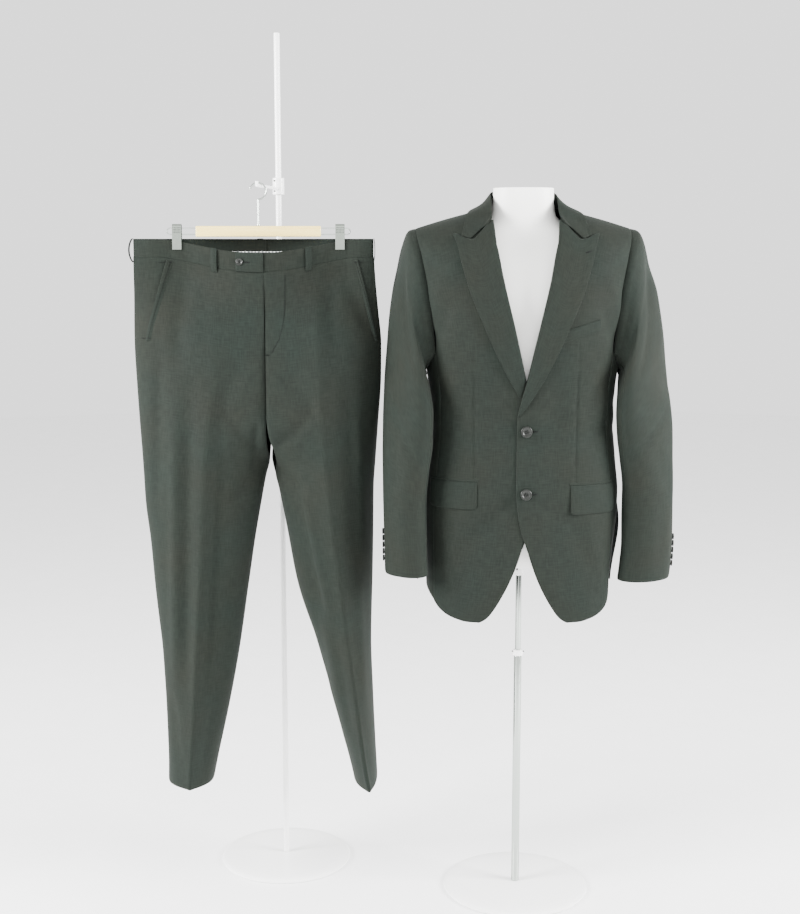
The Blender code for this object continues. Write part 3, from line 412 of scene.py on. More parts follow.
def cloth(name, surface, across, along, side, material, relief=None, thick=1.2 * MM, roll=0.8 * MM,
          inside=None, smooth=0, under=2.0 * MM, lap=(0.3, 0.3, 0.3, 0.3)):
    """A sheet of cloth on surface(u, v): folds push it in or out, its borders roll in and turn under, and it
    gets its wall. lap is how far, in mm, each turned border passes the seam. The UV map is in metres along
    the threads."""
    mesh = bmesh.new()
    bmesh.ops.create_grid(mesh, x_segments=across, y_segments=along, size=0.5)
    grid = {(round((v.co.x + 0.5) * across), round((v.co.y + 0.5) * along)): v for v in mesh.verts}
    places = {}
    for (i, j), vertex in grid.items():
        places[i, j] = (crowd(i, across), crowd(j, along))
        vertex.co = surface(*places[i, j])
    if side < 0:
        bmesh.ops.reverse_faces(mesh, faces=mesh.faces)
    inner = [grid[i, j] for i in range(2, across - 1) for j in range(2, along - 1)]
    for _ in range(smooth):
        bmesh.ops.smooth_vert(mesh, verts=inner, factor=0.5, use_axis_x=True, use_axis_y=True,
                              use_axis_z=True)
    mesh.normal_update()
    middle = across // 2
    run, climb = {}, {}
    for j in range(along + 1):
        climb[j] = climb[j - 1] + (grid[middle, j].co - grid[middle, j - 1].co).length if j else 0.0
        run[0, j] = 0.0
        for i in range(1, across + 1):
            run[i, j] = run[i - 1, j] + (grid[i, j].co - grid[i - 1, j].co).length
    threads, moves = {}, {}
    for (i, j), vertex in grid.items():
        threads[vertex.index] = (run[i, j] - run[middle, j], climb[j])
        border = min(run[i, j], run[across, j] - run[i, j], climb[j], climb[along] - climb[j])
        push = -roll * (1 - ease(border / (5 * MM)) ** 0.5) - slack(vertex.co) * ease(border / 0.02)
        if relief:
            push -= relief(*places[i, j], vertex.co)
        near = grid[min(max(i, 2), across - 2), min(max(j, 2), along - 2)]
        moves[i, j] = near.normal * push
    spots = {place: vertex.co + moves[place] for place, vertex in grid.items()}
    for (i, j), vertex in grid.items():
        a, b = min(max(i, 1), across - 1), min(max(j, 1), along - 1)
        spot = spots[a, b].copy()
        if (a, b) != (i, j):
            near = grid[min(max(i, 2), across - 2), min(max(j, 2), along - 2)]
            beside = spots[a + 2 * (a - i), b] - spot
            above = spots[a, b + 2 * (b - j)] - spot
            past = lap[0 if i < a else 1] if i != a else 0.0
            over = lap[2 if j < b else 3] if j != b else 0.0
            spot -= beside.normalized() * past * MM + above.normalized() * over * MM + near.normal * under
        moves[i, j] = spot
    for place, vertex in grid.items():
        vertex.co = moves[place]
    layer = mesh.loops.layers.uv.new("threads")
    for face in mesh.faces:
        for loop in face.loops:
            loop[layer].uv = threads[loop.vert.index]
    data = bpy.data.meshes.new(name)
    mesh.to_mesh(data)
    mesh.free()
    data.shade_smooth()
    data.materials.append(material)
    piece = put(name, data)
    wall = piece.modifiers.new("wall", "SOLIDIFY")
    wall.thickness, wall.offset = thick, -1.0
    if inside:
        data.materials.append(inside)
        wall.material_offset = 1
    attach(piece, "root")
    return piece


# Worsted wool suiting: two-ply yarn, plain weave, clear-cut finish. It is matt with a faint sheen at a
# glancing angle, charcoal with a slate-green and here and there a brown cast, and each yarn is a little
# lighter or darker. A real yarn is 0.3 mm wide, too fine to show, so the yarn is drawn as coarse as it needs.
ONE_BAND = 0.314            # a wave texture's scale times the width in metres of one band
YARN = 1.8 * MM
WARP_YARNS = (460.0, 45.0, 1.0)         # streaks to the metre, across the warp and along it
WEFT_YARNS = (50.0, 440.0, 1.0)
worsted = new_material("worsted wool suiting", "191E18", 0.82, Sheen_Weight=0.05, Sheen_Roughness=0.4,
                       Sheen_Tint=srgb("A9B3AA"), Specular_IOR_Level=0.11)
lie = add(worsted, "ShaderNodeUVMap", {"uv_map": "threads"})
warp = add(worsted, "ShaderNodeTexWave", {"bands_direction": "X"}, Vector=(lie, "UV"), Scale=ONE_BAND / YARN,
           Distortion=1.2, Detail=2.0, Detail_Scale=1.6)
weft = add(worsted, "ShaderNodeTexWave", {"bands_direction": "Y"}, Vector=(lie, "UV"), Scale=ONE_BAND / YARN,
           Distortion=1.2, Detail=2.0, Detail_Scale=1.6)
weave = add(worsted, "ShaderNodeMath", {"operation": "MULTIPLY"}, i0=(warp, "Fac"), i1=(weft, "Fac"))
along_warp = add(worsted, "ShaderNodeMapping", Vector=(lie, "UV"), Scale=WARP_YARNS)
streaks = add(worsted, "ShaderNodeTexNoise", Vector=(along_warp, "Vector"), Scale=1.0, Detail=2.0)
along_weft = add(worsted, "ShaderNodeMapping", Vector=(lie, "UV"), Scale=WEFT_YARNS)
bars = add(worsted, "ShaderNodeTexNoise", Vector=(along_weft, "Vector"), Scale=1.0, Detail=2.0)
cloud = add(worsted, "ShaderNodeTexNoise", Vector=(lie, "UV"), Scale=6.0, Detail=4.0)
cast_range = add(worsted, "ShaderNodeMapRange", Value=(cloud, "Fac"), From_Min=0.30, From_Max=0.72)
ground_shade = blend(worsted, cast_range, "171E1A", "1B1D18", "Result")
yarns = add(worsted, "ShaderNodeMath", {"operation": "ADD"}, i0=(streaks, "Fac"), i1=(bars, "Fac"))
yarn_range = add(worsted, "ShaderNodeMapRange", Value=(yarns, "Value"), From_Min=0.76, From_Max=1.24)
yarn_shade = add(worsted, "ShaderNodeMix", {"data_type": "RGBA", "blend_type": "MULTIPLY"}, Factor=1.0,
                 A=(ground_shade, "Result"))
brightness = blend(worsted, yarn_range, "CDD0CE", "FFFFFF", "Result")
worsted.node_tree.links.new(brightness.outputs["Result"], yarn_shade.inputs["B"])
feed(worsted, "Base Color", yarn_shade, "Result")
grain = add(worsted, "ShaderNodeMath", {"operation": "ADD"}, i0=(weave, "Value"), i1=(yarns, "Value"))
emboss(worsted, grain, 0.3, 0.2 * MM, "Value")

# Twill lining of cuprammonium rayon: smooth, dark and silky, seen only from below and inside the cuffs.
TWILL_RIB = 1.6 * MM
lining = new_material("rayon twill lining", "1B1E1E", 0.5, Specular_IOR_Level=0.25)
lining_lie = add(lining, "ShaderNodeUVMap", {"uv_map": "threads"})
twill_turn = add(lining, "ShaderNodeMapping", Vector=(lining_lie, "UV"), Rotation=(0, 0, math.radians(45)))
twill = add(lining, "ShaderNodeTexWave", Vector=(twill_turn, "Vector"), Scale=ONE_BAND / TWILL_RIB,
            Distortion=0.5)
feed(lining, "Base Color", blend(lining, twill, "191C1C", "202424"), "Result")
emboss(lining, twill, 0.2, 0.1 * MM)

for name, side in SIDES.items():
    def front_relief(u, v, at):
        return FRONT_FULLNESS * folds(FRONT_FOLDS[side], side * at.x * 1000, at.z * 1000)

    def side_relief(u, v, at):
        return folds(SIDE_FOLDS, mix(60, 110, u), at.z * 1000)

    def back_relief(u, v, at):
        return folds(BACK_FOLDS[side], side * at.x * 1000, at.z * 1000)

    for word, panel, across, along, relief, lap, flat, cut in (
        ("front", front, 64, 120, front_relief, (0.0, 1.4, 0.0, 0.6), (0.30, 0.86), 0.165),
        ("side", side_body, 26, 70, side_relief, (0.4, 0.4, 0.0, 1.2), (0.17, 0.52), 0.05),
        ("back", back, 60, 110, back_relief, (0.8, 2.2, 0.0, 0.6), (0.26, 0.80), 0.15),
    ):
        piece = cloth(f"{word}_{name}", lambda u, v: panel(side, u, v), across, along, side, worsted, relief,
                      inside=lining, lap=lap)
        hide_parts(f"jacket_{word}_{name}")


# ---------------------------------------------------------------- sleeves
# Two-piece sleeves, a wide top sleeve and a narrow under sleeve, set into the armhole with a little fullness
# at the head. They hang empty, flattened and slightly bent, and end in a vent that is closed by buttons.

SLEEVE = {
    1: Table(
        "down outer_x outer_z inner_x inner_z middle depth",
        (0.000, 0.213, 1.372, 0.192, 1.100, 0.010, 0.070),
        (0.016, 0.229, 1.368, 0.196, 1.093, 0.009, 0.075),
        (0.045, 0.244, 1.341, 0.192, 1.088, 0.000, 0.077),
        (0.090, 0.257, 1.296, 0.187, 1.076, -0.008, 0.076),
        (0.140, 0.272, 1.248, 0.184, 1.058, -0.015, 0.073),
        (0.240, 0.289, 1.150, 0.181, 1.016, -0.022, 0.067),
        (0.330, 0.296, 1.062, 0.184, 0.970, -0.027, 0.062),
        (0.420, 0.303, 0.973, 0.192, 0.920, -0.032, 0.058),
        (0.510, 0.303, 0.883, 0.199, 0.856, -0.038, 0.054),
        (0.630, 0.304, 0.762, 0.199, 0.753, -0.047, 0.048),
        (0.690, 0.301, 0.701, 0.194, 0.698, -0.051, 0.045),
        (0.727, 0.296, 0.665, 0.189, 0.664, -0.054, 0.044),
    ),
    -1: Table(
        "down outer_x outer_z inner_x inner_z middle depth",
        (0.000, 0.213, 1.372, 0.192, 1.100, 0.010, 0.070),
        (0.016, 0.228, 1.367, 0.196, 1.093, 0.008, 0.075),
        (0.045, 0.239, 1.340, 0.192, 1.088, 0.000, 0.077),
        (0.100, 0.251, 1.283, 0.187, 1.074, -0.011, 0.076),
        (0.165, 0.262, 1.220, 0.182, 1.049, -0.022, 0.072),
        (0.240, 0.269, 1.150, 0.178, 1.014, -0.034, 0.067),
        (0.330, 0.275, 1.062, 0.178, 0.966, -0.047, 0.062),
        (0.445, 0.278, 0.943, 0.186, 0.898, -0.059, 0.057),
        (0.535, 0.277, 0.852, 0.191, 0.832, -0.067, 0.053),
        (0.613, 0.275, 0.774, 0.190, 0.766, -0.075, 0.048),
        (0.690, 0.273, 0.697, 0.188, 0.695, -0.082, 0.044),
        (0.720, 0.270, 0.669, 0.187, 0.668, -0.085, 0.043),
    ),
}
SLEEVE_END = {1: 0.711, -1: 0.691}
BACK_ARM_SEAM = {1: (-72.0, -6.0), -1: (-72.0, -16.0)}
FRONT_ARM_SEAM = (150.0, 165.0)
SLEEVE_LEAN = {1: 0.056, -1: 0.052}
ARM_MM_PER_DEGREE = 0.87
SET_IN = 1.0 * MM           # how far the sleeve's head lies inside the armhole's line

# Folds of the sleeves: mm round the arm from its outer side towards the front, and mm down from the shoulder.
SLEEVE_FOLDS = {
    1: ((30, 60, 78, 190, 13, 2.4), (8, 90, 40, 230, 14, -1.6), (60, 250, 20, 330, 13, 2.0),
        (86, 300, 48, 352, 10, 1.8), (40, 372, 96, 398, 12, 1.6), (14, 340, 22, 560, 13, -1.6),
        (70, 430, 40, 520, 14, 1.5), (60, 560, 56, 690, 16, 1.3), (-40, 300, -70, 380, 14, 2.0),
        (-56, 120, -80, 260, 16, 1.8), (150, 300, 120, 360, 10, 1.6)),
    -1: ((34, 50, 74, 170, 13, 2.6), (10, 110, 44, 250, 14, -1.5), (66, 235, 22, 300, 13, 2.2),
         (84, 310, 44, 352, 10, 2.0), (36, 380, 92, 412, 12, 1.5), (20, 170, 26, 420, 9, -2.2),
         (34, 200, 46, 470, 12, 1.9), (66, 460, 40, 540, 14, 1.6), (52, 570, 60, 700, 16, 1.4),
         (-44, 290, -72, 372, 14, 1.9), (-60, 130, -84, 250, 16, 1.7), (148, 310, 118, 366, 10, 1.5)),
}


def armhole(side, angle):
    """Edge of the armhole: angle is 0 at the shoulder tip, 90 at the front, 180 under the arm."""
    angle = angle % 360
    facing_back = angle > 180
    if facing_back:
        angle = 360 - angle
    corner = 138.0
    if angle <= corner:
        tip = top_of(lambda height: reach_at(FRONT_SEAM, height))
        height = mix(ARMHOLE_CORNER, tip, (1 + math.cos(math.radians(angle / corner * 180))) / 2)
        turn = FRONT_SEAM
    else:
        turn = mix(FRONT_SEAM, 90.0, (angle - corner) / (180 - corner))
        height = side_top(turn)
    point = torso(side, 180 - turn if facing_back else turn, height)
    point.x -= side * SET_IN
    return point


def sleeve_point(side, angle, down):
    table = SLEEVE[side]
    outer = Vector((side * table("outer_x", down), 0, table("outer_z", down)))
    inner = Vector((side * table("inner_x", down), 0, table("inner_z", down)))
    turn = math.radians(angle)
    ring = (outer + inner) / 2 + (outer - inner) / 2 * math.cos(turn)
    lean = SLEEVE_LEAN[side] * ease(down / 0.10) * (1 - 0.8 * ease((down - 0.20) / 0.40))
    ring.y = table("middle", down) - table("depth", down) * math.sin(turn) + lean * math.cos(turn)
    return ring


def sleeve_from_armhole(side, angle, down):
    """A ring of the sleeve, drawn to the armhole's own line where the sleeve is set in."""
    point = sleeve_point(side, angle, down)
    hold = 1 - ease(down / 0.07)
    if hold > 0:
        point += (armhole(side, angle) - sleeve_point(side, angle, 0.0)) * hold
    return point


def sleeve_angle(side, kind, u, down):
    share = ease(down / SLEEVE_END[side])
    back_seam = mix(*BACK_ARM_SEAM[side], share)
    front_seam = mix(*FRONT_ARM_SEAM, share)
    gap = 0.25
    if kind == "top":
        return mix(back_seam + gap, front_seam - gap, u)
    return mix(front_seam + gap, back_seam + 360 - gap, u)


for name, side in SIDES.items():
    for kind, across, width, cut in (("top", 56, 0.26, 0.125), ("under", 40, 0.19, 0.080)):
        def sleeve(u, v):
            down = SLEEVE_END[side] * v ** 1.25
            return sleeve_from_armhole(side, sleeve_angle(side, kind, u, down), down)

        def sleeve_relief(u, v, at):
            down = SLEEVE_END[side] * v ** 1.25
            angle = sleeve_angle(side, kind, u, down)
            angle = angle - 360 if angle > 200 else angle
            ease_in = 0.7 * math.sin(angle * 0.42) * ease(1 - down / 0.03) * ease(down / 0.004)
            fallen = folds(SLEEVE_FOLDS[side], angle * ARM_MM_PER_DEGREE, down * 1000)
            return SLEEVE_FULLNESS * fallen + ease_in * MM

        piece = cloth(f"sleeve_{kind}_{name}_cloth", sleeve, across, 120, side, worsted, sleeve_relief,
                      inside=lining, lap=(0.3, 0.3, 3.6, 0.0))
        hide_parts(f"sleeve_{kind}_{name}")


# ---------------------------------------------------------------- lapels and collar
# The facing of each front turned back on itself as a peak lapel, and a collar whose fall meets the lapel at
# the gorge and leaves a narrow notch under the peak. A buttonhole is worked in the left peak.

ROLL_TOP = ((1.340, 0.058), (1.385, 0.0625))
LAPEL_EDGE = Table(
    "height reach",
    (1.010, -0.0145), (1.022, -0.005), (1.046, 0.011), (1.080, 0.031), (1.122, 0.053), (1.182, 0.080),
    (1.245, 0.106), (1.308, 0.125), (1.338, 0.132), (1.358, 0.139), (1.380, 0.142),
)
GORGE = Table(
    "reach height",
    (0.050, 1.392), (0.066, 1.385), (0.078, 1.373), (0.092, 1.357), (0.103, 1.348), (0.115, 1.350),
    (0.124, 1.354), (0.133, 1.357), (0.142, 1.359),
)
LAPEL_BREAK = {1: 1.012, -1: 1.050}
LAPEL_STAND = 4.5 * MM
COLLAR = Table(
    "run foot_x foot_y foot_z fold_x fold_y fold_z edge_x edge_y edge_z",
    (0.00, 0.0000, 0.075, 1.413, 0.000, 0.073, 1.449, 0.000, 0.089, 1.406),
    (0.22, 0.0360, 0.068, 1.414, 0.034, 0.066, 1.449, 0.047, 0.085, 1.406),
    (0.42, 0.0650, 0.045, 1.416, 0.059, 0.041, 1.446, 0.083, 0.062, 1.403),
    (0.58, 0.0730, 0.010, 1.415, 0.0635, 0.008, 1.441, 0.098, 0.022, 1.411),
    (0.74, 0.0705, -0.026, 1.404, 0.0635, -0.030, 1.424, 0.114, -0.038, 1.399),
    (0.87, 0.0675, -0.050, 1.392, 0.0640, -0.055, 1.402, 0.119, -0.063, 1.380),
    (1.00, 0.0705, -0.072, 1.3835, 0.0705, -0.079, 1.3875, 0.124, -0.084, 1.360),
)
COLLAR_FOLD = 2 / 7
COLLAR_DIP = 14 * MM


def lapel(side, u, v):
    def reach_of(height):
        (low, start), (high, end) = ROLL_TOP
        inner = FRONT_EDGE("reach", height)
        if height > low:
            inner = mix(start, end, (height - low) / (high - low))
        if side == -1:
            inner = max(inner, 1.5 * MM - inner)
        return mix(inner + 0.5 * MM, LAPEL_EDGE("reach", height), u)

    high = 1.36
    for _ in range(8):
        high = GORGE("height", reach_of(high))
    height = mix(LAPEL_BREAK[side], high - 0.5 * MM, 1 - (1 - v) ** 1.4)
    return front_point(side, turn_at(reach_of(height), height), height)


def lapel_stand(u, v):
    """Height of the lapel over the front: it rolls up from the edge, bellies in its lower half and rises a
    little more at its outer edge.
    """
    rolled = math.sqrt(1 - (1 - min(u / 0.10, 1.0)) ** 2)
    belly = 2.2 * math.sin(math.pi * min(v / 0.5, 1.0)) * (1 - ease((u - 0.3) / 0.7))
    return (1.0 + (3.5 * rolled + belly + 1.4 * ease((u - 0.6) / 0.4)) * ease(0.2 + v / 0.14)) * MM


def collar_line(which, run):
    side = math.copysign(1, run)
    x, y, z = (COLLAR(f"{which}_{axis}", abs(run)) for axis in "xyz")
    return Vector((side * x, y, z))


def collar(u, v):
    """Stand, fold and fall of the collar in one sheet: v is 0 at the foot of the stand, 1 at the edge."""
    run = mix(-1.0, 1.0, u)
    fold = collar_line("fold", run)
    share = max(v - COLLAR_FOLD, 0.0) / (1 - COLLAR_FOLD)
    on_chest = ease((abs(run) - 0.62) / 0.2)
    if v < COLLAR_FOLD:
        point = collar_line("foot", run).lerp(fold, v / COLLAR_FOLD)
        held = ease((abs(run) - 0.76) / 0.1)
    else:
        point = fold.lerp(collar_line("edge", run), share)
        point.z -= COLLAR_DIP * min(share / 0.7, (1 - share) / 0.3) * ease((abs(run) - 0.8) / 0.2)
        hollow = mix(2.5, -4.0, ease((abs(run) - 0.42) / 0.16))
        point.z += hollow * MM * math.sin(math.pi * share) * (1 - on_chest)
        held = max(on_chest * ease(share / 0.3), ease((abs(run) - 0.76) / 0.1))
    chest = torso(1, turn_at(abs(point.x), point.z), point.z).y - LAPEL_STAND - 0.5 * MM
    point.y = mix(point.y, min(point.y, chest), held)
    return point


for name, side in SIDES.items():
    piece = cloth(f"lapel_{name}_cloth", lambda u, v: lapel(side, u, v), 30, 84, side, worsted,
                  lambda u, v, at: -lapel_stand(u, v), thick=1.0 * MM, roll=0.3 * MM, under=0.7 * MM,
                  lap=(0.3, 0.3, 0.3, 2.0))
    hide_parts(f"lapel_{name}")
piece = cloth("collar_cloth", collar, 110, 32, 1, worsted, thick=1.4 * MM, roll=0.4 * MM, smooth=3,
              under=1.2 * MM, lap=(2.0, 2.0, 0.3, 0.3))
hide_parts("collar")


# ---------------------------------------------------------------- pockets of the jacket
# Two jetted hip pockets, each a slit bound by two narrow folds of cloth with a flap hanging from it, and one
# slanting welt on the left breast.

POCKET = {"left": (0.089, 0.178, 0.877, 0.058), "right": (0.093, 0.182, 0.884, 0.055)}
BREAST_WELT = (0.062, 0.142, 1.152, 22 * MM, 0.30)


def patch(side, low_reach, high_reach, low, high, slope=0.0):
    """A piece that lies on the front between two reaches and two heights."""
    def surface(u, v):
        reach = mix(low_reach, high_reach, u)
        height = mix(low, high, v) + slope * (reach - low_reach)
        return front_point(side, turn_at(reach, height), height)
    return surface


def rounded(surface, width, drop, radius):
    """The same patch with its two lower corners cut round."""
    def cut(u, v):
        near = min(u, 1 - u) * width
        rise = radius - math.sqrt(max(radius ** 2 - (radius - min(near, radius)) ** 2, 0.0))
        return surface(u, mix(rise / drop, 1.0, v))
    return cut


for name, side in SIDES.items():
    near, far, top, drop = POCKET[name]
    flap = rounded(patch(side, near, far, top - drop, top - 0.5 * MM), far - near, drop, 9 * MM)

    def flap_stand(u, v, at):
        return -(mix(3.4, 1.6, v) + 0.7 * math.sin(7 * u + side) * (1 - v) - 0.5 * ease((v - 0.8) / 0.2)) * MM

    piece = cloth(f"flap_{name}", flap, 48, 24, side, worsted, flap_stand, roll=0.7 * MM, under=0.8 * MM,
                  lap=(0.0, 0.0, 0.0, 0.0))
    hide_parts(f"pocket_flap_{name}")
    bound = patch(side, near - 2 * MM, far + 2 * MM, top, top + 5 * MM)
    jet = cloth(f"pocket_jet_{name}", bound, 40, 8, side, worsted,
                lambda u, v, at: -1.5 * MM * math.sin(math.pi * min(v + 0.25, 1.0)), roll=0.4 * MM,
                under=0.8 * MM)

near, far, height, width, slope = BREAST_WELT
piece = cloth("breast_welt_cloth", patch(1, near, far, height, height + width, slope), 40, 16, 1, worsted,
              lambda u, v, at: -(1.5 + 0.9 * v) * MM, roll=0.6 * MM, under=1.2 * MM)
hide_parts("breast_welt")


# ---------------------------------------------------------------- buttons and buttonholes
# Four-hole buttons turned from dark horn with a raised rim, sewn on with doubled black thread: two in front,
# five that touch each other on each cuff, and one on the trousers' waist. Buttonholes are worked in thread.

HORN_STREAK = 3.0 * MM
horn = new_material("turned and polished horn", "131514", 0.3, Specular_IOR_Level=0.24)
horn_stretch = add(horn, "ShaderNodeMapping", Vector=objectwise(horn), Scale=(1.0, 1.0, 0.35))
horn_grain = add(horn, "ShaderNodeTexNoise", Vector=(horn_stretch, "Vector"), Scale=1 / HORN_STREAK,
                 Detail=3.0)
feed(horn, "Base Color", blend(horn, horn_grain, "0B0C0B", "232522"), "Result")
emboss(horn, horn_grain, 0.1, 0.1 * MM)
THREAD_PLY = 0.8 * MM
thread = new_material("spun polyester thread", "0D0F0E", 0.8, Specular_IOR_Level=0.12)
ply = add(thread, "ShaderNodeTexWave", {"bands_direction": "DIAGONAL"}, Vector=objectwise(thread),
          Scale=ONE_BAND / THREAD_PLY)
emboss(thread, ply, 0.4, 0.1 * MM)

FRONT_BUTTONS = ((0.983, 3.0 * MM), (0.861, 1.4 * MM))
FRONT_BUTTON = 22 * MM
CUFF_BUTTON = 12.6 * MM
CUFF_BUTTONS = 5
CUFF_BUTTON_PITCH = 13.1 * MM
CUFF_BUTTON_START = 27 * MM
BUTTON_PROFILE = (          # share of the radius, share of the thickness
    (0.00, 0.42), (0.34, 0.42), (0.44, 0.50), (0.56, 0.60), (0.66, 0.82), (0.78, 0.99), (0.88, 1.00),
    (0.96, 0.88), (1.00, 0.62), (0.97, 0.30), (0.86, 0.08), (0.60, 0.00), (0.00, 0.00),
)


def button(name, spot, facing, diameter, thickness, spin=0.0):
    """A turned button with four bored holes and its two bars of thread, standing at spot."""
    turned = bmesh.new()
    line = [turned.verts.new((share * diameter / 2, 0, rise * thickness)) for share, rise in BUTTON_PROFILE]
    edges = [turned.edges.new(pair) for pair in zip(line, line[1:])]
    bmesh.ops.spin(turned, geom=line + edges, cent=(0, 0, 0), axis=(0, 0, 1), angle=2 * math.pi, steps=36,
                   use_merge=True)
    bmesh.ops.remove_doubles(turned, verts=turned.verts, dist=0.02 * MM)
    bmesh.ops.recalc_face_normals(turned, faces=turned.faces)
    bores = bmesh.new()
    apart = diameter * 0.095
    for x, y in ((1, 1), (1, -1), (-1, 1), (-1, -1)):
        bore = bmesh.ops.create_cone(bores, cap_ends=True, segments=12, radius1=diameter * 0.047,
                                     radius2=diameter * 0.047, depth=thickness * 4)["verts"]
        bmesh.ops.translate(bores, verts=bore, vec=(x * apart, y * apart, 0))
    blank, drill = bpy.data.meshes.new(name), bpy.data.meshes.new("drill")
    turned.to_mesh(blank)
    bores.to_mesh(drill)
    piece, tool = put(name, blank), put("drill", drill)
    cut = piece.modifiers.new("holes", "BOOLEAN")
    cut.operation, cut.object, cut.solver = "DIFFERENCE", tool, "EXACT"
    bored = bpy.data.meshes.new_from_object(piece.evaluated_get(bpy.context.evaluated_depsgraph_get()))
    piece.modifiers.clear()
    piece.data = bored
    bpy.data.objects.remove(tool)
    bored.materials.clear()
    bored.materials.append(horn)
    bars = bmesh.new()
    for y in (1, -1):
        bar = bmesh.ops.create_cone(bars, cap_ends=True, segments=8, radius1=diameter * 0.036,
                                    radius2=diameter * 0.036, depth=apart * 2.3)["verts"]
        bmesh.ops.rotate(bars, verts=bar, matrix=Vector((1, 0, 0)).to_track_quat("Z", "Y").to_matrix())
        bmesh.ops.translate(bars, verts=bar, vec=(0, y * apart, thickness * 0.5))
    sewn = bpy.data.meshes.new(f"{name}_thread")
    bars.to_mesh(sewn)
    sewn.materials.append(thread)
    stitches = put(f"{name}_thread", sewn)
    turn = facing.to_track_quat("Z", "Y").to_matrix().to_4x4()
    turn.translation = spot
    for item in (piece, stitches):
        item.data.transform(turn @ Matrix.Rotation(spin, 4, "Z"))
        item.data.shade_smooth()
        item.data.set_sharp_from_angle(angle=math.radians(40))
        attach(item, "root")
    for mesh in (turned, bores, bars):
        mesh.free()
    return piece


def stitch_line(name, points, radius, material=thread):
    """A line of thread along points, as one tube."""
    curve = bpy.data.curves.new(name, "CURVE")
    curve.dimensions, curve.bevel_depth, curve.bevel_resolution, curve.use_fill_caps = "3D", radius, 1, True
    spline = curve.splines.new("POLY")
    spline.points.add(len(points) - 1)
    for point, spot in zip(spline.points, points):
        point.co = (*spot, 1.0)
    curve.materials.append(material)
    piece = put(name, curve)
    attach(piece, "root")


def buttonhole(name, place, length, width=1.5 * MM, radius=0.55 * MM):
    """A worked buttonhole: thread round a slit, wider at its first end. place(a, b) gives its points."""
    ring = []
    for k in range(33):
        a = 2 * math.pi * k / 32
        eye = 1 + 0.7 * ease((math.cos(a) - 0.5) / 0.5)
        ring.append(place(length / 2 * (1 - math.cos(a)), width * eye * math.sin(a) * 0.5))
    stitch_line(name, ring, radius)


for i, (height, stand) in enumerate(FRONT_BUTTONS):
    spot = front_point(1, 0.1, height) + Vector((0, -stand, 0))
    piece = button(f"front_button_{i + 1}_horn", spot, Vector((0.02, -1, 0.05 if i else 0.0)).normalized(),
                   FRONT_BUTTON, 3.8 * MM, spin=0.3 + i)
    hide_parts(f"front_button_{i + 1}")

    def on_front(a, b):
        reach = a - 2 * MM
        at = front_point(1, turn_at(reach, height + b), height + b)
        return at + Vector((0, -0.5 * MM, 0))
    buttonhole(f"front_buttonhole_{i + 1}", on_front, 25 * MM)

for name, side in SIDES.items():
    for i in range(CUFF_BUTTONS):
        down = SLEEVE_END[side] - CUFF_BUTTON_START - i * CUFF_BUTTON_PITCH
        share = ease(down / SLEEVE_END[side])
        angle = mix(*BACK_ARM_SEAM[side], share) + 9
        spot = sleeve_point(side, angle, down)
        around = sleeve_point(side, angle + 2, down) - spot
        climb = sleeve_point(side, angle, down + 0.005) - spot
        facing = (around.cross(climb) * side).normalized()
        piece = button(f"cuff_button_{name}_{i + 1}_horn", spot + facing * 0.6 * MM, facing, CUFF_BUTTON,
                       3.0 * MM, spin=0.5 * i)
        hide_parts(f"cuff_button_{name}_{i + 1}")

        def on_cuff(a, b):
            at = sleeve_point(side, angle + math.degrees(a / 0.046) + 2, down + b)
            return at + facing * 0.5 * MM
        buttonhole(f"cuff_buttonhole_{name}_{i + 1}", on_cuff, 16 * MM, radius=0.45 * MM)


def on_peak(a, b):
    reach, height = 0.112 + 0.96 * a + 0.28 * b, 1.325 + 0.30 * a - b
    at = front_point(1, turn_at(reach, height), height)
    return at + Vector((0, -LAPEL_STAND - 1.1 * MM, 0))


buttonhole("lapel_buttonhole", on_peak, 20 * MM)


# ---------------------------------------------------------------- trousers: legs
# Two fronts and two backs of the same suiting, pressed to a sharp crease down the middle of each leg, seamed
# at the sides, inside the legs and through the crotch. A fly with a stitched J closes the front.

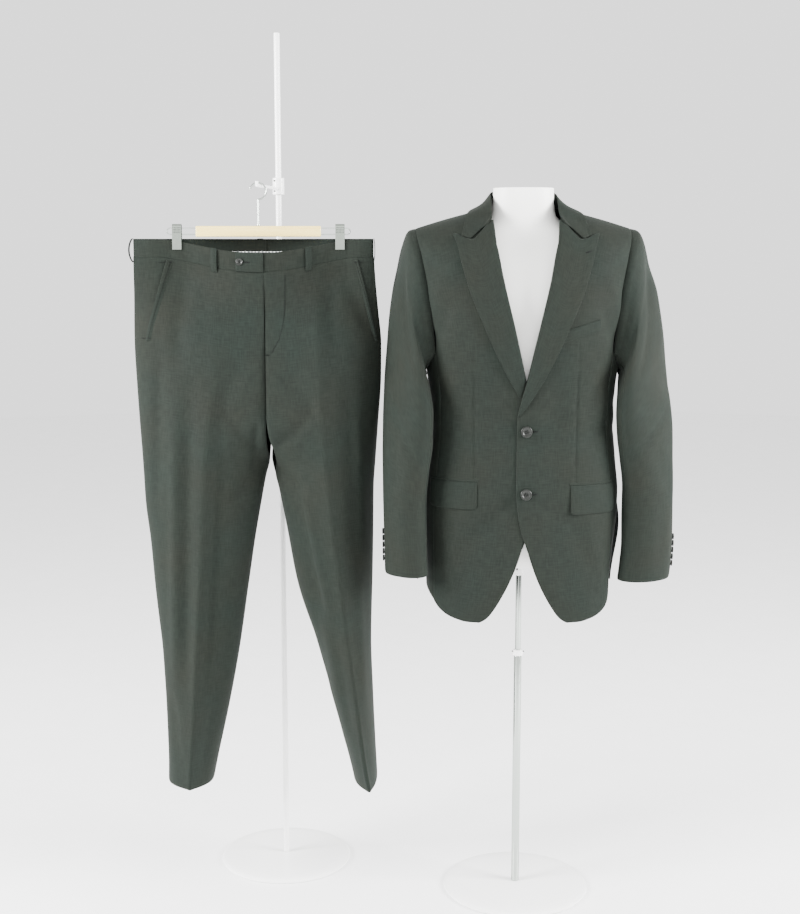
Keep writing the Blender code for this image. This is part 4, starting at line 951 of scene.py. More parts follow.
TROUSERS_X = -0.5225
WAIST_TOP = 1.352
BAND = 36 * MM
HALF_WAIST = {1: 0.2270, -1: 0.2480}
CENTRE_FRONT = 0.0115
CROTCH = 0.914
CLIP_REACH = 0.161
CLIP_WIDTH = 18 * MM
WAIST_DIP = 28 * MM
WAIST_BELLY = 31 * MM
PINCH = 3.6 * MM
LEG = {
    1: Table(
        "height side inner crease front back",
        (0.241, 0.2325, 0.1840, 0.2175, 0.086, 0.088),
        (0.302, 0.2295, 0.1700, 0.2070, 0.086, 0.088),
        (0.426, 0.2240, 0.1370, 0.1920, 0.087, 0.089),
        (0.540, 0.2205, 0.1060, 0.1770, 0.088, 0.090),
        (0.664, 0.2235, 0.0690, 0.1620, 0.089, 0.092),
        (0.770, 0.2255, 0.0500, 0.1480, 0.090, 0.096),
        (0.855, 0.2265, 0.0340, 0.1400, 0.091, 0.100),
        (0.914, 0.2305, 0.0200, 0.1340, 0.090, 0.100),
        (0.990, 0.2360, 0.0170, 0.1280, 0.086, 0.096),
        (1.080, 0.2420, 0.0160, 0.1220, 0.076, 0.086),
        (1.146, 0.2425, 0.0150, 0.1180, 0.064, 0.072),
        (1.205, 0.2375, 0.0140, 0.1140, 0.050, 0.056),
        (1.320, 0.2270, 0.0115, 0.1090, 0.034, 0.036),
    ),
    -1: Table(
        "height side inner crease front back",
        (0.238, 0.2035, 0.1095, 0.1500, 0.068, 0.088),
        (0.290, 0.2025, 0.0985, 0.1465, 0.069, 0.088),
        (0.400, 0.2045, 0.0740, 0.1380, 0.070, 0.088),
        (0.513, 0.2090, 0.0520, 0.1310, 0.071, 0.088),
        (0.645, 0.2210, 0.0315, 0.1215, 0.073, 0.088),
        (0.751, 0.2285, 0.0150, 0.1135, 0.075, 0.090),
        (0.828, 0.2365, 0.0010, 0.1090, 0.077, 0.092),
        (0.880, 0.2385, -0.0090, 0.1050, 0.078, 0.094),
        (0.914, 0.2400, -0.0170, 0.1030, 0.079, 0.094),
        (0.990, 0.2440, -0.0170, 0.0960, 0.077, 0.090),
        (1.062, 0.2475, -0.0160, 0.0870, 0.072, 0.082),
        (1.153, 0.2505, -0.0150, 0.0850, 0.060, 0.068),
        (1.227, 0.2495, -0.0135, 0.0850, 0.046, 0.050),
        (1.320, 0.2480, -0.0115, 0.0850, 0.034, 0.036),
    ),
}
CREASE_SHARPNESS = math.radians(60)
CREASE_HEIGHT = 4.5 * MM
CREASE_WIDTH = 0.05         # share of the panel's width
CREASE_TOP = {(1, -1): 1.27, (-1, -1): 1.07, (1, 1): 1.07, (-1, 1): 1.27}
FRONT_RISE = 0.075
BACK_RISE = 0.120

# Folds of the legs, in mm out from the middle of the hanger and up from the floor.
LEG_FOLDS = {
    (1, -1): ((8, 1000, 22, 905, 8, 2.6), (30, 935, 96, 1000, 12, 2.0), (24, 905, 84, 860, 12, 2.2),
              (60, 1090, 116, 1010, 16, 1.6),
              (70, 860, 118, 620, 13, 2.2), (92, 840, 132, 640, 10, -1.6), (176, 1040, 186, 720, 14, 1.8),
              (196, 980, 204, 760, 11, -1.4), (150, 560, 176, 380, 10, 1.2), (196, 660, 206, 430, 9, -1.2),
              (100, 640, 130, 470, 12, 1.4), (140, 1240, 150, 1120, 16, 1.4),
              (186, 1250, 214, 1180, 14, 1.6)),
    (-1, -1): ((2, 985, 12, 905, 8, 1.8), (4, 936, 60, 1004, 12, 2.2), (-2, 904, 56, 836, 12, 2.2),
               (40, 1100, 84, 990, 18, 1.8),
               (76, 930, 112, 480, 13, 2.4), (134, 1010, 152, 500, 14, 2.0), (166, 960, 176, 520, 12, -2.0),
               (196, 1110, 206, 840, 13, 1.6), (52, 760, 86, 520, 12, -1.4), (64, 700, 96, 420, 12, 1.4),
               (150, 1260, 158, 1120, 16, 1.6), (186, 420, 176, 300, 12, 1.0), (104, 400, 124, 280, 10, 1.2)),
    (1, 1): ((118, 1312, 116, 1232, 2.0, 0.8), (30, 950, 110, 1010, 14, 2.2), (40, 900, 96, 820, 14, 2.4),
             (70, 800, 120, 600, 14, 2.0), (150, 700, 190, 640, 12, 1.6), (140, 660, 196, 690, 12, 1.2),
             (190, 1000, 196, 760, 14, 1.8), (160, 560, 184, 380, 12, -1.2)),
    (-1, 1): ((116, 1312, 114, 1236, 2.0, 0.8), (10, 950, 90, 1014, 14, 2.0), (20, 896, 80, 812, 14, 2.6),
              (60, 790, 100, 560, 15, 2.2), (120, 690, 196, 650, 13, 1.6), (116, 640, 190, 676, 12, 1.3),
              (184, 1020, 196, 740, 14, 1.6), (120, 520, 150, 360, 12, -1.3)),
}


def waist_gap(side, reach):
    """Half the space between the front and the back of the waist: pinched in the clips, open between them."""
    held = CLIP_WIDTH / 2 + 6 * MM
    middle = max(0.0, math.cos(math.pi / 2 * min(abs(reach) / (CLIP_REACH - held), 1.0)))
    past = (reach - CLIP_REACH - held) / (HALF_WAIST[side] - CLIP_REACH - held)
    outside = math.sin(math.pi * min(max(past, 0.0), 1.0))
    return PINCH + WAIST_BELLY * middle ** 1.3 + 4 * MM * outside


def waist_dip(reach):
    return WAIST_DIP * max(0.0, math.cos(math.pi / 2 * min(abs(reach) / 0.20, 1.0))) ** 1.5


def trouser(side, face, u, height):
    """Point of a leg: face is -1 in front and 1 behind, u is 0 at the inner edge and 1 at the side seam."""
    table = LEG[side]
    side_x, crease_x = table("side", height), table("crease", height)
    inner_x = table("inner", height) + SEAM / 2
    deep = table("front" if face < 0 else "back", height)
    rise = FRONT_RISE if face < 0 else BACK_RISE
    inner_y = deep * 0.93 * math.sin(math.pi / 2 * min(max((height - CROTCH) / rise, 0.0), 1.0))
    share = abs(u - 0.5) * 2
    angle = CREASE_SHARPNESS * (1 - share)
    run = (1 - math.cos(angle)) / (1 - math.cos(CREASE_SHARPNESS))
    bulge = math.sin(angle) / math.sin(CREASE_SHARPNESS)
    if u >= 0.5:
        x = mix(side_x, crease_x, run)
        y = deep * bulge
    else:
        x = mix(inner_x, crease_x, run)
        y = mix(inner_y, deep, bulge)
    y = mix(y, waist_gap(side, abs(x)), ease((height - 1.165) / 0.13))
    return Vector((TROUSERS_X + side * x, face * (y + SEAM / 2), height))


def trouser_panel(side, face):
    def surface(u, v):
        share = u if face < 0 else 1 - u
        hem = LEG[side].rows[0][0]
        reach = abs(trouser(side, face, share, 1.31).x - TROUSERS_X)
        seam = WAIST_TOP - BAND - 0.4 * MM
        if face < 0:
            seam -= waist_dip(reach)
        return trouser(side, face, share, mix(hem, seam, v))
    return surface


for name, side in SIDES.items():
    for face, word, cut in ((-1, "front", (0.30, 1.10, 0.24)), (1, "back", (0.36, 1.14, 0.28))):
        def leg_relief(u, v, at):
            off_crease = abs(u - 0.5) / CREASE_WIDTH
            ridge = CREASE_HEIGHT * math.exp(-off_crease) * ease((CREASE_TOP[side, face] - at.z) / 0.10)
            across, up = side * (at.x - TROUSERS_X) * 1000, at.z * 1000
            return folds(LEG_FOLDS[side, face], across, up) * ease(off_crease) * LEG_FULLNESS - ridge

        piece = cloth(f"leg_{word}_{name}", trouser_panel(side, face), 72, 130, side, worsted, leg_relief,
                      lap=(0.4, 0.4, 0.0, 1.8))
        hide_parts(f"trouser_{word}_{name}")


# ---------------------------------------------------------------- trousers: waistband, tab, loops and curtain
# A doubled, interlined band in two halves joined at the centre back, an extended tab that buttons across the
# front, belt loops sewn down at both ends, and inside the back a curtain of pocketing with a corded top edge.

LOOPS = (                   # name, side, face, reach and how far it stands off, in mm
    ("front_left", 1, -1, 0.099, 2.6), ("front_right", -1, -1, 0.086, 3.4), ("centre_back", 1, 1, 0.0, 2.4),
)
SIDE_LOOP_STAND = {1: 2.4, -1: 8.6}
LOOP_WIDTH = 12 * MM
LOOP_HEIGHT = 47 * MM


def band_path(side, u):
    """Way round the waist: the centre front at 0, the side at a half and the centre back at 1."""
    half = HALF_WAIST[side]
    start = side * CENTRE_FRONT + SEAM / 2
    if abs(u - 0.5) < 0.06:
        swing = (u - 0.5) / 0.06 * math.pi / 2
        return half - PINCH + PINCH * math.cos(swing), PINCH * math.sin(swing)
    face = -1 if u < 0.5 else 1
    share = u / 0.44 if u < 0.5 else (1 - u) / 0.44
    reach = mix(start, half - PINCH, share)
    return reach, face * waist_gap(side, reach)


def waistband(side):
    def surface(u, v):
        reach, deep = band_path(side, u)
        top = WAIST_TOP - (waist_dip(reach) if deep < 0 else 0.0)
        return Vector((TROUSERS_X + side * reach, deep, top - BAND * (1 - v)))
    return surface


def strip(side, face, middle, width, low, high):
    """A strip lying on the waist: a tab or a belt loop, before the band and the cloth below it."""
    def surface(u, v):
        reach = middle + width * (u - 0.5) * (1 if face < 0 else -1)
        top = WAIST_TOP - (waist_dip(reach) if face < 0 else 0.0)
        deep = waist_gap(side, abs(reach))
        return Vector((TROUSERS_X + side * reach, face * deep, top + mix(low, high, v)))
    return surface


for name, side in SIDES.items():
    piece = cloth(f"waistband_{name}_cloth", waistband(side), 150, 14, side, worsted, thick=1.8 * MM,
                  roll=0.5 * MM, lap=(0.5, 0.5, 1.0, 0.0))
    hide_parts(f"waistband_{name}")


def belt_loop(name, side, surface, rise, under):
    piece = cloth(f"loop_{name}", surface, 14, 36, side, worsted, rise, roll=0.3 * MM, under=under,
                  lap=(0, 0, 0, 0))
    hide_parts(f"belt_loop_{name}")


for name, side, face, reach, stand in LOOPS:
    def loop_rise(u, v, at):
        return -(1.6 + stand * math.sin(math.pi * v) ** 0.5 - 0.6 * ease(abs(u - 0.5) / 0.5)) * MM

    loop_strip = strip(side, face, reach, LOOP_WIDTH, 1 * MM - LOOP_HEIGHT, 1 * MM)
    belt_loop(name, side, loop_strip, loop_rise, 0.6 * MM)
for name, side in SIDES.items():
    def side_loop(u, v):
        out = HALF_WAIST[side] + (1.2 + SIDE_LOOP_STAND[side] * math.sin(math.pi * v) ** 0.6) * MM
        height = WAIST_TOP + 1 * MM - LOOP_HEIGHT * (1 - v)
        return Vector((TROUSERS_X + side * out, (u - 0.5) * LOOP_WIDTH, height))

    belt_loop(f"side_{name}", side, side_loop, None, 0.4 * MM)

TAB = 54 * MM
tab = strip(-1, -1, TAB / 2 - CENTRE_FRONT, TAB, -BAND - 1 * MM, 0.5 * MM)
piece = cloth("waist_tab_cloth", tab, 40, 22, -1, worsted, lambda u, v, at: -3.0 * MM, thick=1.4 * MM,
              under=1.8 * MM)
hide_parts("waist_tab")
spot = tab(0.86, 0.5) + Vector((0, -3.2 * MM, 0))
piece = button("waist_button_horn", spot, Vector((0, -1, 0)), 14.5 * MM, 3.0 * MM, spin=0.6)
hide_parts("waist_button")
buttonhole("waist_buttonhole",
           lambda a, b: tab(0.90 - a / TAB, 0.5 + b / BAND) + Vector((0, -3.3 * MM, 0)), 22 * MM)

# Pocketing: grey twill of cotton, its top edge corded in white and grey turn by turn.
POCKETING_RIB, CORD_TURN = 1.2 * MM, 7 * MM
pocketing = new_material("cotton pocketing twill", "4A4D4C", 0.9)
pocketing_lie = add(pocketing, "ShaderNodeUVMap", {"uv_map": "threads"})
rib = add(pocketing, "ShaderNodeTexWave", {"bands_direction": "DIAGONAL"}, Vector=(pocketing_lie, "UV"),
          Scale=ONE_BAND / POCKETING_RIB)
emboss(pocketing, rib, 0.3, 0.1 * MM)
cord = new_material("two-colour cotton cord", "D9DCDB", 0.85)
turns = add(cord, "ShaderNodeTexWave", {"bands_direction": "X"}, Vector=objectwise(cord),
            Scale=ONE_BAND / CORD_TURN, Distortion=3.0, Detail=2.0, Detail_Scale=3.0)
feed(cord, "Base Color", blend(cord, turns, "5E6463", "F2F4F3"), "Result")


def curtain_at(reach, height, off=0.0):
    return Vector((TROUSERS_X + reach, waist_gap(1, abs(reach)) - 3.2 * MM - off, height))


CURTAIN_REACH = 0.075
piece = cloth("waist_curtain_cloth",
              lambda u, v: curtain_at(mix(-CURTAIN_REACH, CURTAIN_REACH, u), mix(1.290, 1.3250, v)), 60, 10,
              -1, pocketing, thick=0.6 * MM, roll=0.2 * MM, under=0.4 * MM, lap=(0, 0, 0, 0))
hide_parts("waist_curtain")
cord_path = [curtain_at(mix(-CURTAIN_REACH, CURTAIN_REACH, k / 40), 1.3262, 0.9 * MM) for k in range(41)]
stitch_line("waist_curtain_cord", cord_path, 1.1 * MM, cord)


# ---------------------------------------------------------------- trousers: side pockets and stitching
# Each slanting pocket is cut into the front: its folded mouth stands a little off the side piece beneath, is
# stitched 5 mm from the fold and is tacked at both ends. The fly's J is stitched from the band to the crotch.

POCKET_MOUTH = {1: (0.860, 0.739), -1: (0.790, 0.680)}


def on_leg(side, share, height, off):
    """A point this far off the front of a leg."""
    at = trouser(side, -1, share, height)
    across = trouser(side, -1, share + 0.004, height) - at
    up = trouser(side, -1, share, height + 0.002) - at
    return at + across.cross(up).normalized() * side * off


def leg_share(side, reach, height):
    """Where a reach from the middle lies between the inner edge and the side seam, before the side."""
    low, high = 0.0, 1.0
    for _ in range(20):
        middle = (low + high) / 2
        if side * (trouser(side, -1, middle, height).x - TROUSERS_X) < reach:
            low = middle
        else:
            high = middle
    return low


for name, side in SIDES.items():
    def mouth(u, v):
        return on_leg(side, mix(*POCKET_MOUTH[side], v) + mix(-0.022, 0.012, u), mix(1.152, 1.3105, v), 0.0)

    piece = cloth(f"pocket_mouth_{name}", mouth, 12, 60, side, worsted,
                  lambda u, v, at: -(0.3 + 2.4 * ease(u / 0.8)) * MM, thick=1.0 * MM, roll=0.3 * MM,
                  under=0.8 * MM)
    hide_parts(f"pocket_edge_{name}")
    row = [on_leg(side, mix(*POCKET_MOUTH[side], k / 40) - 0.008, mix(1.158, 1.308, k / 40), 1.9 * MM)
           for k in range(41)]
    stitch_line(f"pocket_stitching_{name}", row, 0.28 * MM)
    for end, height in ((0.03, 1.157), (0.97, 1.3055)):
        share = mix(*POCKET_MOUTH[side], end)
        tack = [on_leg(side, share + mix(-0.02, 0.05, k / 12), height + (k % 2) * 1.2 * MM, 2.2 * MM)
                for k in range(13)]
        stitch_line(f"pocket_tack_{name}_{round(end)}", tack, 0.5 * MM)

FLY_WIDTH = 42 * MM
fly = [(FLY_WIDTH, 1.283), (FLY_WIDTH, 1.27), (FLY_WIDTH, 1.235), (FLY_WIDTH - 1 * MM, 1.205),
       (FLY_WIDTH - 4 * MM, 1.180), (FLY_WIDTH - 10 * MM, 1.158), (FLY_WIDTH - 20 * MM, 1.140),
       (FLY_WIDTH - 26 * MM, 1.128)]
fly_line = []
for (x0, z0), (x1, z1) in zip(fly, fly[1:]):
    for k in range(6):
        reach, height = mix(x0, x1, k / 6) + CENTRE_FRONT, mix(z0, z1, k / 6)
        fly_line.append(on_leg(1, leg_share(1, reach, height), height, 0.3 * MM))
stitch_line("fly_stitching", fly_line, 0.28 * MM)
fly_tack = [on_leg(1, leg_share(1, 0.0165 + k * 0.6 * MM, 1.126), 1.126 + (k % 2) * 1.5 * MM, 0.6 * MM)
            for k in range(12)]
stitch_line("fly_tack", fly_tack, 0.5 * MM)


# ---------------------------------------------------------------- dress form
# A limbless torso moulded in white plastic, closed at the neck and at its flat bottom. A socket under it,
# locked by a grub screw, takes a telescopic pole of chromed tube that slides in a thicker one on a round
# enamelled foot.

FORM = Table(
    "height half_width front back middle",
    (0.704, 0.130, 0.078, 0.078, 0.000),
    (0.712, 0.152, 0.090, 0.088, 0.000),
    (0.760, 0.160, 0.097, 0.092, 0.000),
    (0.860, 0.163, 0.101, 0.092, 0.000),
    (0.960, 0.152, 0.096, 0.076, 0.000),
    (1.050, 0.156, 0.100, 0.080, 0.000),
    (1.150, 0.165, 0.108, 0.090, 0.000),
    (1.230, 0.172, 0.104, 0.092, 0.003),
    (1.300, 0.180, 0.088, 0.084, 0.006),
    (1.332, 0.168, 0.075, 0.076, 0.008),
    (1.352, 0.138, 0.064, 0.068, 0.009),
    (1.368, 0.106, 0.056, 0.061, 0.009),
    (1.384, 0.076, 0.050, 0.056, 0.008),
    (1.402, 0.063, 0.049, 0.053, 0.006),
    (1.430, 0.0600, 0.050, 0.052, 0.003),
    (1.450, 0.0595, 0.050, 0.052, 0.002),
)
FORM_BOTTOM = 0.704
POLE_STEP = 0.509
BASE_HEIGHT = 12 * MM

# Satin white plastic straight from the mould, with a very slight ripple of the surface.
shell = new_material("moulded white plastic", "F4F4F0", 0.42, Specular_IOR_Level=0.4)
ripple = add(shell, "ShaderNodeTexNoise", Vector=objectwise(shell), Scale=60.0, Detail=2.0)
emboss(shell, ripple, 0.12, 0.3 * MM)
# Bright chromium plate on drawn steel: fine lines run round it where it was polished.
chrome = new_material("polished chromium plate", "A9AFAA", 0.16, Metallic=1.0)
drawn = add(chrome, "ShaderNodeMapping", Vector=objectwise(chrome), Scale=(40.0, 40.0, 900.0))
lines = add(chrome, "ShaderNodeTexNoise", Vector=(drawn, "Vector"), Scale=1.0, Detail=2.0)
line_shine = add(chrome, "ShaderNodeMapRange", Value=(lines, "Fac"), To_Min=0.12, To_Max=0.26)
feed(chrome, "Roughness", line_shine, "Result")
# Dull nickel plate on pressed spring steel, grey beside the chromium.
nickel = new_material("dull nickel plate", "8C938B", 0.34, Metallic=1.0)
pressed = add(nickel, "ShaderNodeTexNoise", Vector=objectwise(nickel), Scale=240.0, Detail=3.0)
press_shine = add(nickel, "ShaderNodeMapRange", Value=(pressed, "Fac"), To_Min=0.28, To_Max=0.42)
feed(nickel, "Roughness", press_shine, "Result")
# Stoved white enamel on pressed steel, glossy with a faint orange peel.
enamel = new_material("stoved white enamel", "F3F3F2", 0.3, Coat_Weight=0.3, Coat_Roughness=0.12)
peel = add(enamel, "ShaderNodeTexNoise", Vector=objectwise(enamel), Scale=420.0, Detail=1.0)
emboss(enamel, peel, 0.1, 0.05 * MM)
# Steel screws blackened in an oil bath, with the dull pitting that leaves.
blackened = new_material("oil-blackened steel", "121310", 0.55, Metallic=0.6)
pitted = add(blackened, "ShaderNodeTexNoise", Vector=objectwise(blackened), Scale=900.0, Detail=1.0)
emboss(blackened, pitted, 0.3, 0.1 * MM)


def rigid(name, mesh, material, slot, *nodes, angle=35):
    """Puts a bmesh in the scene as one hard piece that stands for the named nodes."""
    bmesh.ops.recalc_face_normals(mesh, faces=mesh.faces)
    data = bpy.data.meshes.new(name)
    mesh.to_mesh(data)
    mesh.free()
    data.materials.append(material)
    data.shade_smooth()
    data.set_sharp_from_angle(angle=math.radians(angle))
    piece = put(name, data)
    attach(piece, "root")
    if nodes:
        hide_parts(*nodes)
    return piece


def turned(profile, centre=(0.0, 0.0, 0.0), axis=(0.0, 0.0, 1.0), steps=64):
    """A body of revolution: profile gives radius and height pairs, in metres, from one end of the axis on."""
    mesh = bmesh.new()
    line = [mesh.verts.new((radius, 0, height)) for radius, height in profile]
    edges = [mesh.edges.new(pair) for pair in zip(line, line[1:])]
    bmesh.ops.spin(mesh, geom=line + edges, cent=(0, 0, 0), axis=(0, 0, 1), angle=2 * math.pi, steps=steps,
                   use_merge=True)
    bmesh.ops.remove_doubles(mesh, verts=mesh.verts, dist=0.02 * MM)
    turn = Vector(axis).to_track_quat("Z", "Y").to_matrix().to_4x4()
    turn.translation = Vector(centre)
    bmesh.ops.transform(mesh, matrix=turn, verts=mesh.verts)
    return mesh


def shaft(radius, low, high, edge=0.6 * MM):
    """Profile of a rod with rounded ends."""
    quarter = [math.pi / 2 * k / 4 for k in range(5)]
    foot = [(radius - edge + edge * math.sin(a), low + edge - edge * math.cos(a)) for a in quarter]
    head = [(radius - edge + edge * math.cos(a), high - edge + edge * math.sin(a)) for a in quarter]
    return [(0.0, low)] + foot + head + [(0.0, high)]


trunk = bmesh.new()
rings = []
for k in range(76):
    height = mix(FORM.rows[0][0], FORM.rows[-1][0], (k / 75) ** 0.9) if k < 75 else FORM.rows[-1][0]
    circle = bmesh.ops.create_circle(trunk, segments=96, radius=1.0)["verts"]
    for vertex in circle:
        forward = ease(0.5 - vertex.co.y * 1.6)
        deep = mix(FORM("back", height), FORM("front", height), forward)
        x = math.copysign(abs(vertex.co.x) ** 0.88, vertex.co.x) * FORM("half_width", height)
        y = math.copysign(abs(vertex.co.y) ** 0.88, vertex.co.y) * deep
        outward = Vector((x, y, 0)).normalized()
        vertex.co = Vector((x, y + FORM("middle", height), height)) - 0.2 * MM * outward
    rings.append({edge for vertex in circle for edge in vertex.link_edges})
for lower, upper in zip(rings, rings[1:]):
    bmesh.ops.bridge_loops(trunk, edges=list(lower | upper))
bmesh.ops.holes_fill(trunk, edges=[edge for edge in trunk.edges if edge.is_boundary])
rigid("torso_shell", trunk, shell, "shell", "form_torso")

socket_foot = FORM_BOTTOM - 31 * MM
rigid("torso_socket", turned(shaft(10 * MM, socket_foot, FORM_BOTTOM - 0.6 * MM, 1.2 * MM)), enamel,
      "enamel", "form_socket")
screw_spot = (-0.004, -8.6 * MM, socket_foot + 13 * MM)
rigid("socket_screw", turned(shaft(1.9 * MM, 0.0, 2.4 * MM, 0.5 * MM), screw_spot, (-0.42, -0.9, 0), 20),
      blackened, "chrome")
rigid("pole_inner_tube", turned(shaft(6 * MM, POLE_STEP + 7 * MM, socket_foot - 0.6 * MM)), chrome,
      "chrome", "form_pole_upper")
rigid("pole_collar", turned(shaft(10.5 * MM, POLE_STEP - 6 * MM, POLE_STEP + 6 * MM, 1.6 * MM)), enamel,
      "enamel", "form_pole_collar")
for word, lean in (("left", 1), ("right", -1)):
    rigid(f"collar_pin_{word}", turned(shaft(1.3 * MM, 0.0, 3.4 * MM, 0.4 * MM),
                                       (lean * 9.2 * MM, -3 * MM, POLE_STEP + 3 * MM), (lean, -0.3, 0), 16),
          blackened, "chrome")
rigid("pole_outer_tube", turned(shaft(8 * MM, BASE_HEIGHT + 0.6 * MM, POLE_STEP - 7 * MM)), chrome, "chrome",
      "form_pole_lower")
foot_plate = [(0.0, 0.0), (0.146, 0.0), (0.149, 1.2 * MM), (0.150, 3.4 * MM), (0.1495, 6 * MM),
              (0.147, 8 * MM), (0.142, 9.4 * MM), (0.120, 10.4 * MM), (0.060, 11.4 * MM), (0.0, 12 * MM)]
rigid("form_foot", turned(foot_plate, steps=96), enamel, "enamel", "form_base")


# ---------------------------------------------------------------- hanger stand
# A second enamelled foot with a slim pole. A clamp with two thumb screws slides on the pole and holds the arm
# that the hanger's hook rests on.

STAND_X, STAND_Y = -0.494, 0.142
STAND_TOP = 1.767
ARM_HEIGHT = 1.455


def wire(name, points, radius, material, slot, *nodes, sides=10):
    """A bent round wire: rings of vertices carried along points without twisting."""
    mesh = bmesh.new()
    loops = []
    frame_x = Vector((0, 1, 0))
    for k, spot in enumerate(points):
        ahead = points[min(k + 1, len(points) - 1)] - points[max(k - 1, 0)]
        along = ahead.normalized()
        frame_x = (frame_x - along * frame_x.dot(along)).normalized()
        frame_y = along.cross(frame_x)
        loops.append([mesh.verts.new(spot + radius * (frame_x * math.cos(a) + frame_y * math.sin(a)))
                      for a in (2 * math.pi * j / sides for j in range(sides))])
    for first, second in zip(loops, loops[1:]):
        for j in range(sides):
            mesh.faces.new((first[j], first[(j + 1) % sides], second[(j + 1) % sides], second[j]))
    mesh.faces.new(loops[0][::-1])
    mesh.faces.new(loops[-1])
    return rigid(name, mesh, material, slot, *nodes)


stand_spot = (STAND_X, STAND_Y, 0.0)
stand_plate = [(radius * 0.140 / 0.150, height) for radius, height in foot_plate]
rigid("stand_foot", turned(stand_plate, stand_spot, steps=96), enamel, "enamel", "stand_base")
rigid("stand_tube", turned(shaft(6 * MM, BASE_HEIGHT + 0.6 * MM, STAND_TOP, 1.5 * MM), stand_spot), enamel,
      "enamel", "stand_pole")
clamp_profile = [(6.4 * MM, 0.0), (11.2 * MM, 0.0), (12 * MM, 0.8 * MM), (12 * MM, 33.2 * MM),
                 (11.2 * MM, 34 * MM), (6.4 * MM, 34 * MM), (6.4 * MM, 0.0)]
rigid("stand_clamp_body", turned(clamp_profile, (STAND_X, STAND_Y, ARM_HEIGHT - 12 * MM)), enamel,
      "enamel", "stand_clamp")
for word, height in (("low", ARM_HEIGHT - 5 * MM), ("high", ARM_HEIGHT + 16 * MM)):
    rigid(f"clamp_screw_{word}", turned(shaft(1.8 * MM, 0.0, 3 * MM, 0.5 * MM),
                                        (STAND_X - 6.5 * MM, STAND_Y - 9 * MM, height), (-0.55, -0.8, 0), 16),
          blackened, "chrome")
tip = Vector((TROUSERS_X, -0.018, ARM_HEIGHT))
root = Vector((STAND_X, STAND_Y, ARM_HEIGHT))
root += (tip - root).normalized() * (12.4 * MM)
arm_path = [root, root.lerp(tip, 0.5), tip.lerp(root, 0.02), tip, tip + Vector((0, -1.4 * MM, 3 * MM)),
            tip + Vector((0, -2 * MM, 8 * MM))]
wire("stand_arm_rod", arm_path, 3.2 * MM, enamel, "enamel", "stand_arm", sides=20)


# ---------------------------------------------------------------- clip hanger
# A lacquered beech bar on a bent wire hook. A wire loop in each end carries a sprung clip of pressed and
# plated steel, whose jaws hold the waistband; the clip slides along the loop.

BAR_LENGTH, BAR_HEIGHT, BAR_DEPTH, BAR_Z = 0.247, 0.021, 0.012, 1.3665

# Beech, clear lacquered: pale yellow, straight grained, with short dark flecks.
beech = new_material("lacquered beech", "EAD98F", 0.3, Coat_Weight=0.4, Coat_Roughness=0.15)
beech_at = objectwise(beech)
lengthwise = add(beech, "ShaderNodeMapping", Vector=beech_at, Scale=(6.0, 260.0, 260.0))
grain_noise = add(beech, "ShaderNodeTexNoise", Vector=(lengthwise, "Vector"), Scale=1.0, Detail=4.0,
                  Distortion=0.6)
flecks_at = add(beech, "ShaderNodeMapping", Vector=beech_at, Scale=(160.0, 1200.0, 1200.0))
flecks = add(beech, "ShaderNodeTexNoise", Vector=(flecks_at, "Vector"), Scale=1.0, Detail=1.0)
fleck_mask = add(beech, "ShaderNodeMapRange", Value=(flecks, "Fac"), From_Min=0.68, From_Max=0.76,
                 To_Max=0.35)
wood = blend(beech, grain_noise, "EBD88A", "D2B65E")
flecked = add(beech, "ShaderNodeMix", {"data_type": "RGBA"}, Factor=(fleck_mask, "Result"),
              A=(wood, "Result"), B=srgb("B49A5E"))
feed(beech, "Base Color", flecked, "Result")

half = BAR_LENGTH / 2
bar = bmesh.new()
bmesh.ops.create_cube(bar, size=1.0)
bmesh.ops.scale(bar, verts=bar.verts, vec=(BAR_LENGTH, BAR_DEPTH, BAR_HEIGHT))
bmesh.ops.bevel(bar, geom=bar.edges[:], offset=2 * MM, segments=4, profile=0.5, affect="EDGES")
bmesh.ops.translate(bar, verts=bar.verts, vec=(TROUSERS_X, 0, BAR_Z))
rigid("hanger_bar_beech", bar, beech, "beech", "hanger_bar")

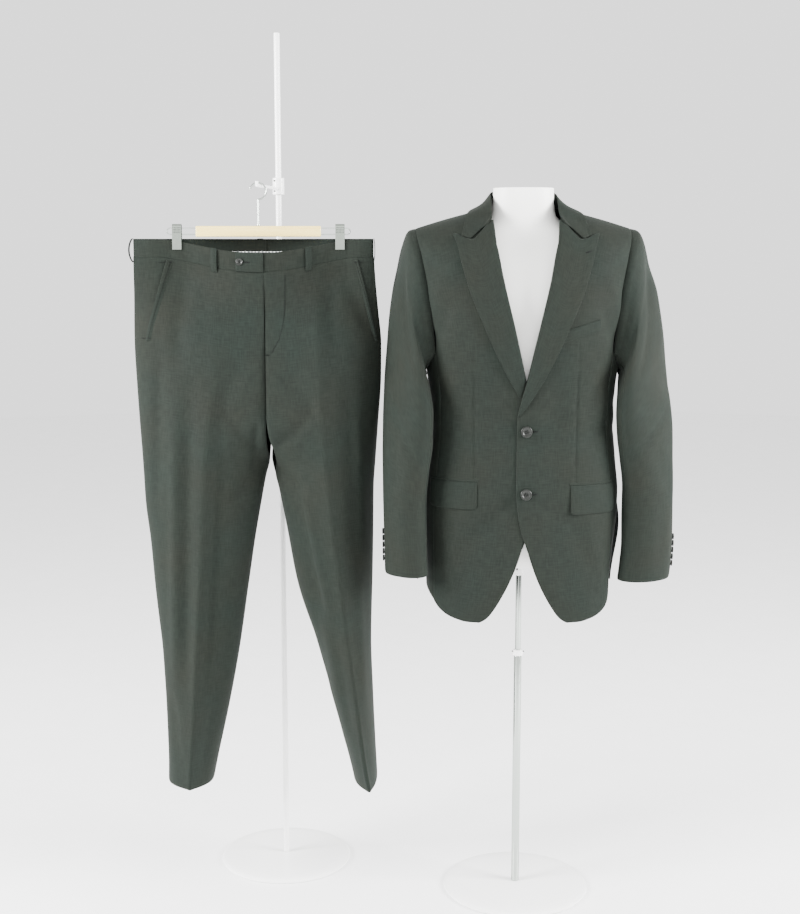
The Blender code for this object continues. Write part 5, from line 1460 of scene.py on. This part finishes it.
HOOK_WIRE, HOOK_RADIUS = 1.7 * MM, 16 * MM
hook_top = ARM_HEIGHT + 3.8 * MM + HOOK_WIRE
hook_centre = Vector((TROUSERS_X, 0, hook_top - HOOK_RADIUS))
hook_foot = BAR_Z + BAR_HEIGHT / 2 + 0.6 * MM
stem_top = hook_centre.z - HOOK_RADIUS - 3 * MM
stem = [Vector((TROUSERS_X, 0, mix(hook_foot, stem_top, k / 3))) for k in range(4)]
arc = [hook_centre + HOOK_RADIUS * Vector((math.cos(a), 0, math.sin(a)))
       for a in (math.radians(mix(-90, 165, k / 36)) for k in range(37))]
wire("hanger_hook_wire", stem + arc, HOOK_WIRE, chrome, "chrome", "hanger_hook", sides=16)
rigid("hanger_ferrule", turned(shaft(3.4 * MM, 0.0, 3 * MM, 0.6 * MM), (TROUSERS_X, 0, hook_foot - 0.4 * MM),
                               steps=24), chrome, "chrome")

for name, side in SIDES.items():
    start = TROUSERS_X + side * (half + 0.6 * MM)
    end = TROUSERS_X + side * (CLIP_REACH + 14 * MM)
    half_turn = [math.pi * k / 16 for k in range(17)]
    bend = [Vector((end + side * 6 * MM * math.sin(a), 0, BAR_Z + 6 * MM * math.cos(a))) for a in half_turn]
    loop_path = [Vector((start, 0, BAR_Z + 6 * MM)), *bend, Vector((start, 0, BAR_Z - 6 * MM))]
    wire(f"hanger_loop_{name}", loop_path, 1.1 * MM, chrome, "chrome", f"hanger_wire_{name}")

    inside, sheet = PINCH + 1.4 * MM, 1.0 * MM
    crown, jaw = 1.381, 1.331
    outer = inside + sheet
    profile = [(-outer * math.cos(a), crown - outer + outer * math.sin(a)) for a in half_turn]
    profile += [(outer, jaw), (inside, jaw)]
    profile += [(inside * math.cos(a), crown - outer + inside * math.sin(a)) for a in half_turn]
    profile += [(-inside, jaw), (-outer, jaw)]
    jaws = bmesh.new()
    middle = TROUSERS_X + side * CLIP_REACH
    plate = jaws.faces.new([jaws.verts.new((middle - CLIP_WIDTH / 2, y, z)) for y, z in profile])
    pulled = bmesh.ops.extrude_face_region(jaws, geom=[plate])["geom"]
    moved = [item for item in pulled if isinstance(item, bmesh.types.BMVert)]
    bmesh.ops.translate(jaws, verts=moved, vec=(CLIP_WIDTH, 0, 0))
    rigid(f"hanger_jaws_{name}", jaws, nickel, "chrome", f"hanger_clip_{name}", angle=30)
    knurl = bmesh.new()
    for row in range(4):
        for column in range(6):
            dot = bmesh.ops.create_uvsphere(knurl, u_segments=8, v_segments=6, radius=0.75 * MM)["verts"]
            bmesh.ops.translate(knurl, verts=dot, vec=(middle + (column - 2.5) * 2.7 * MM, -outer,
                                                       1.3735 - row * 3.2 * MM))
    rigid(f"hanger_grip_{name}", knurl, blackened, "chrome")
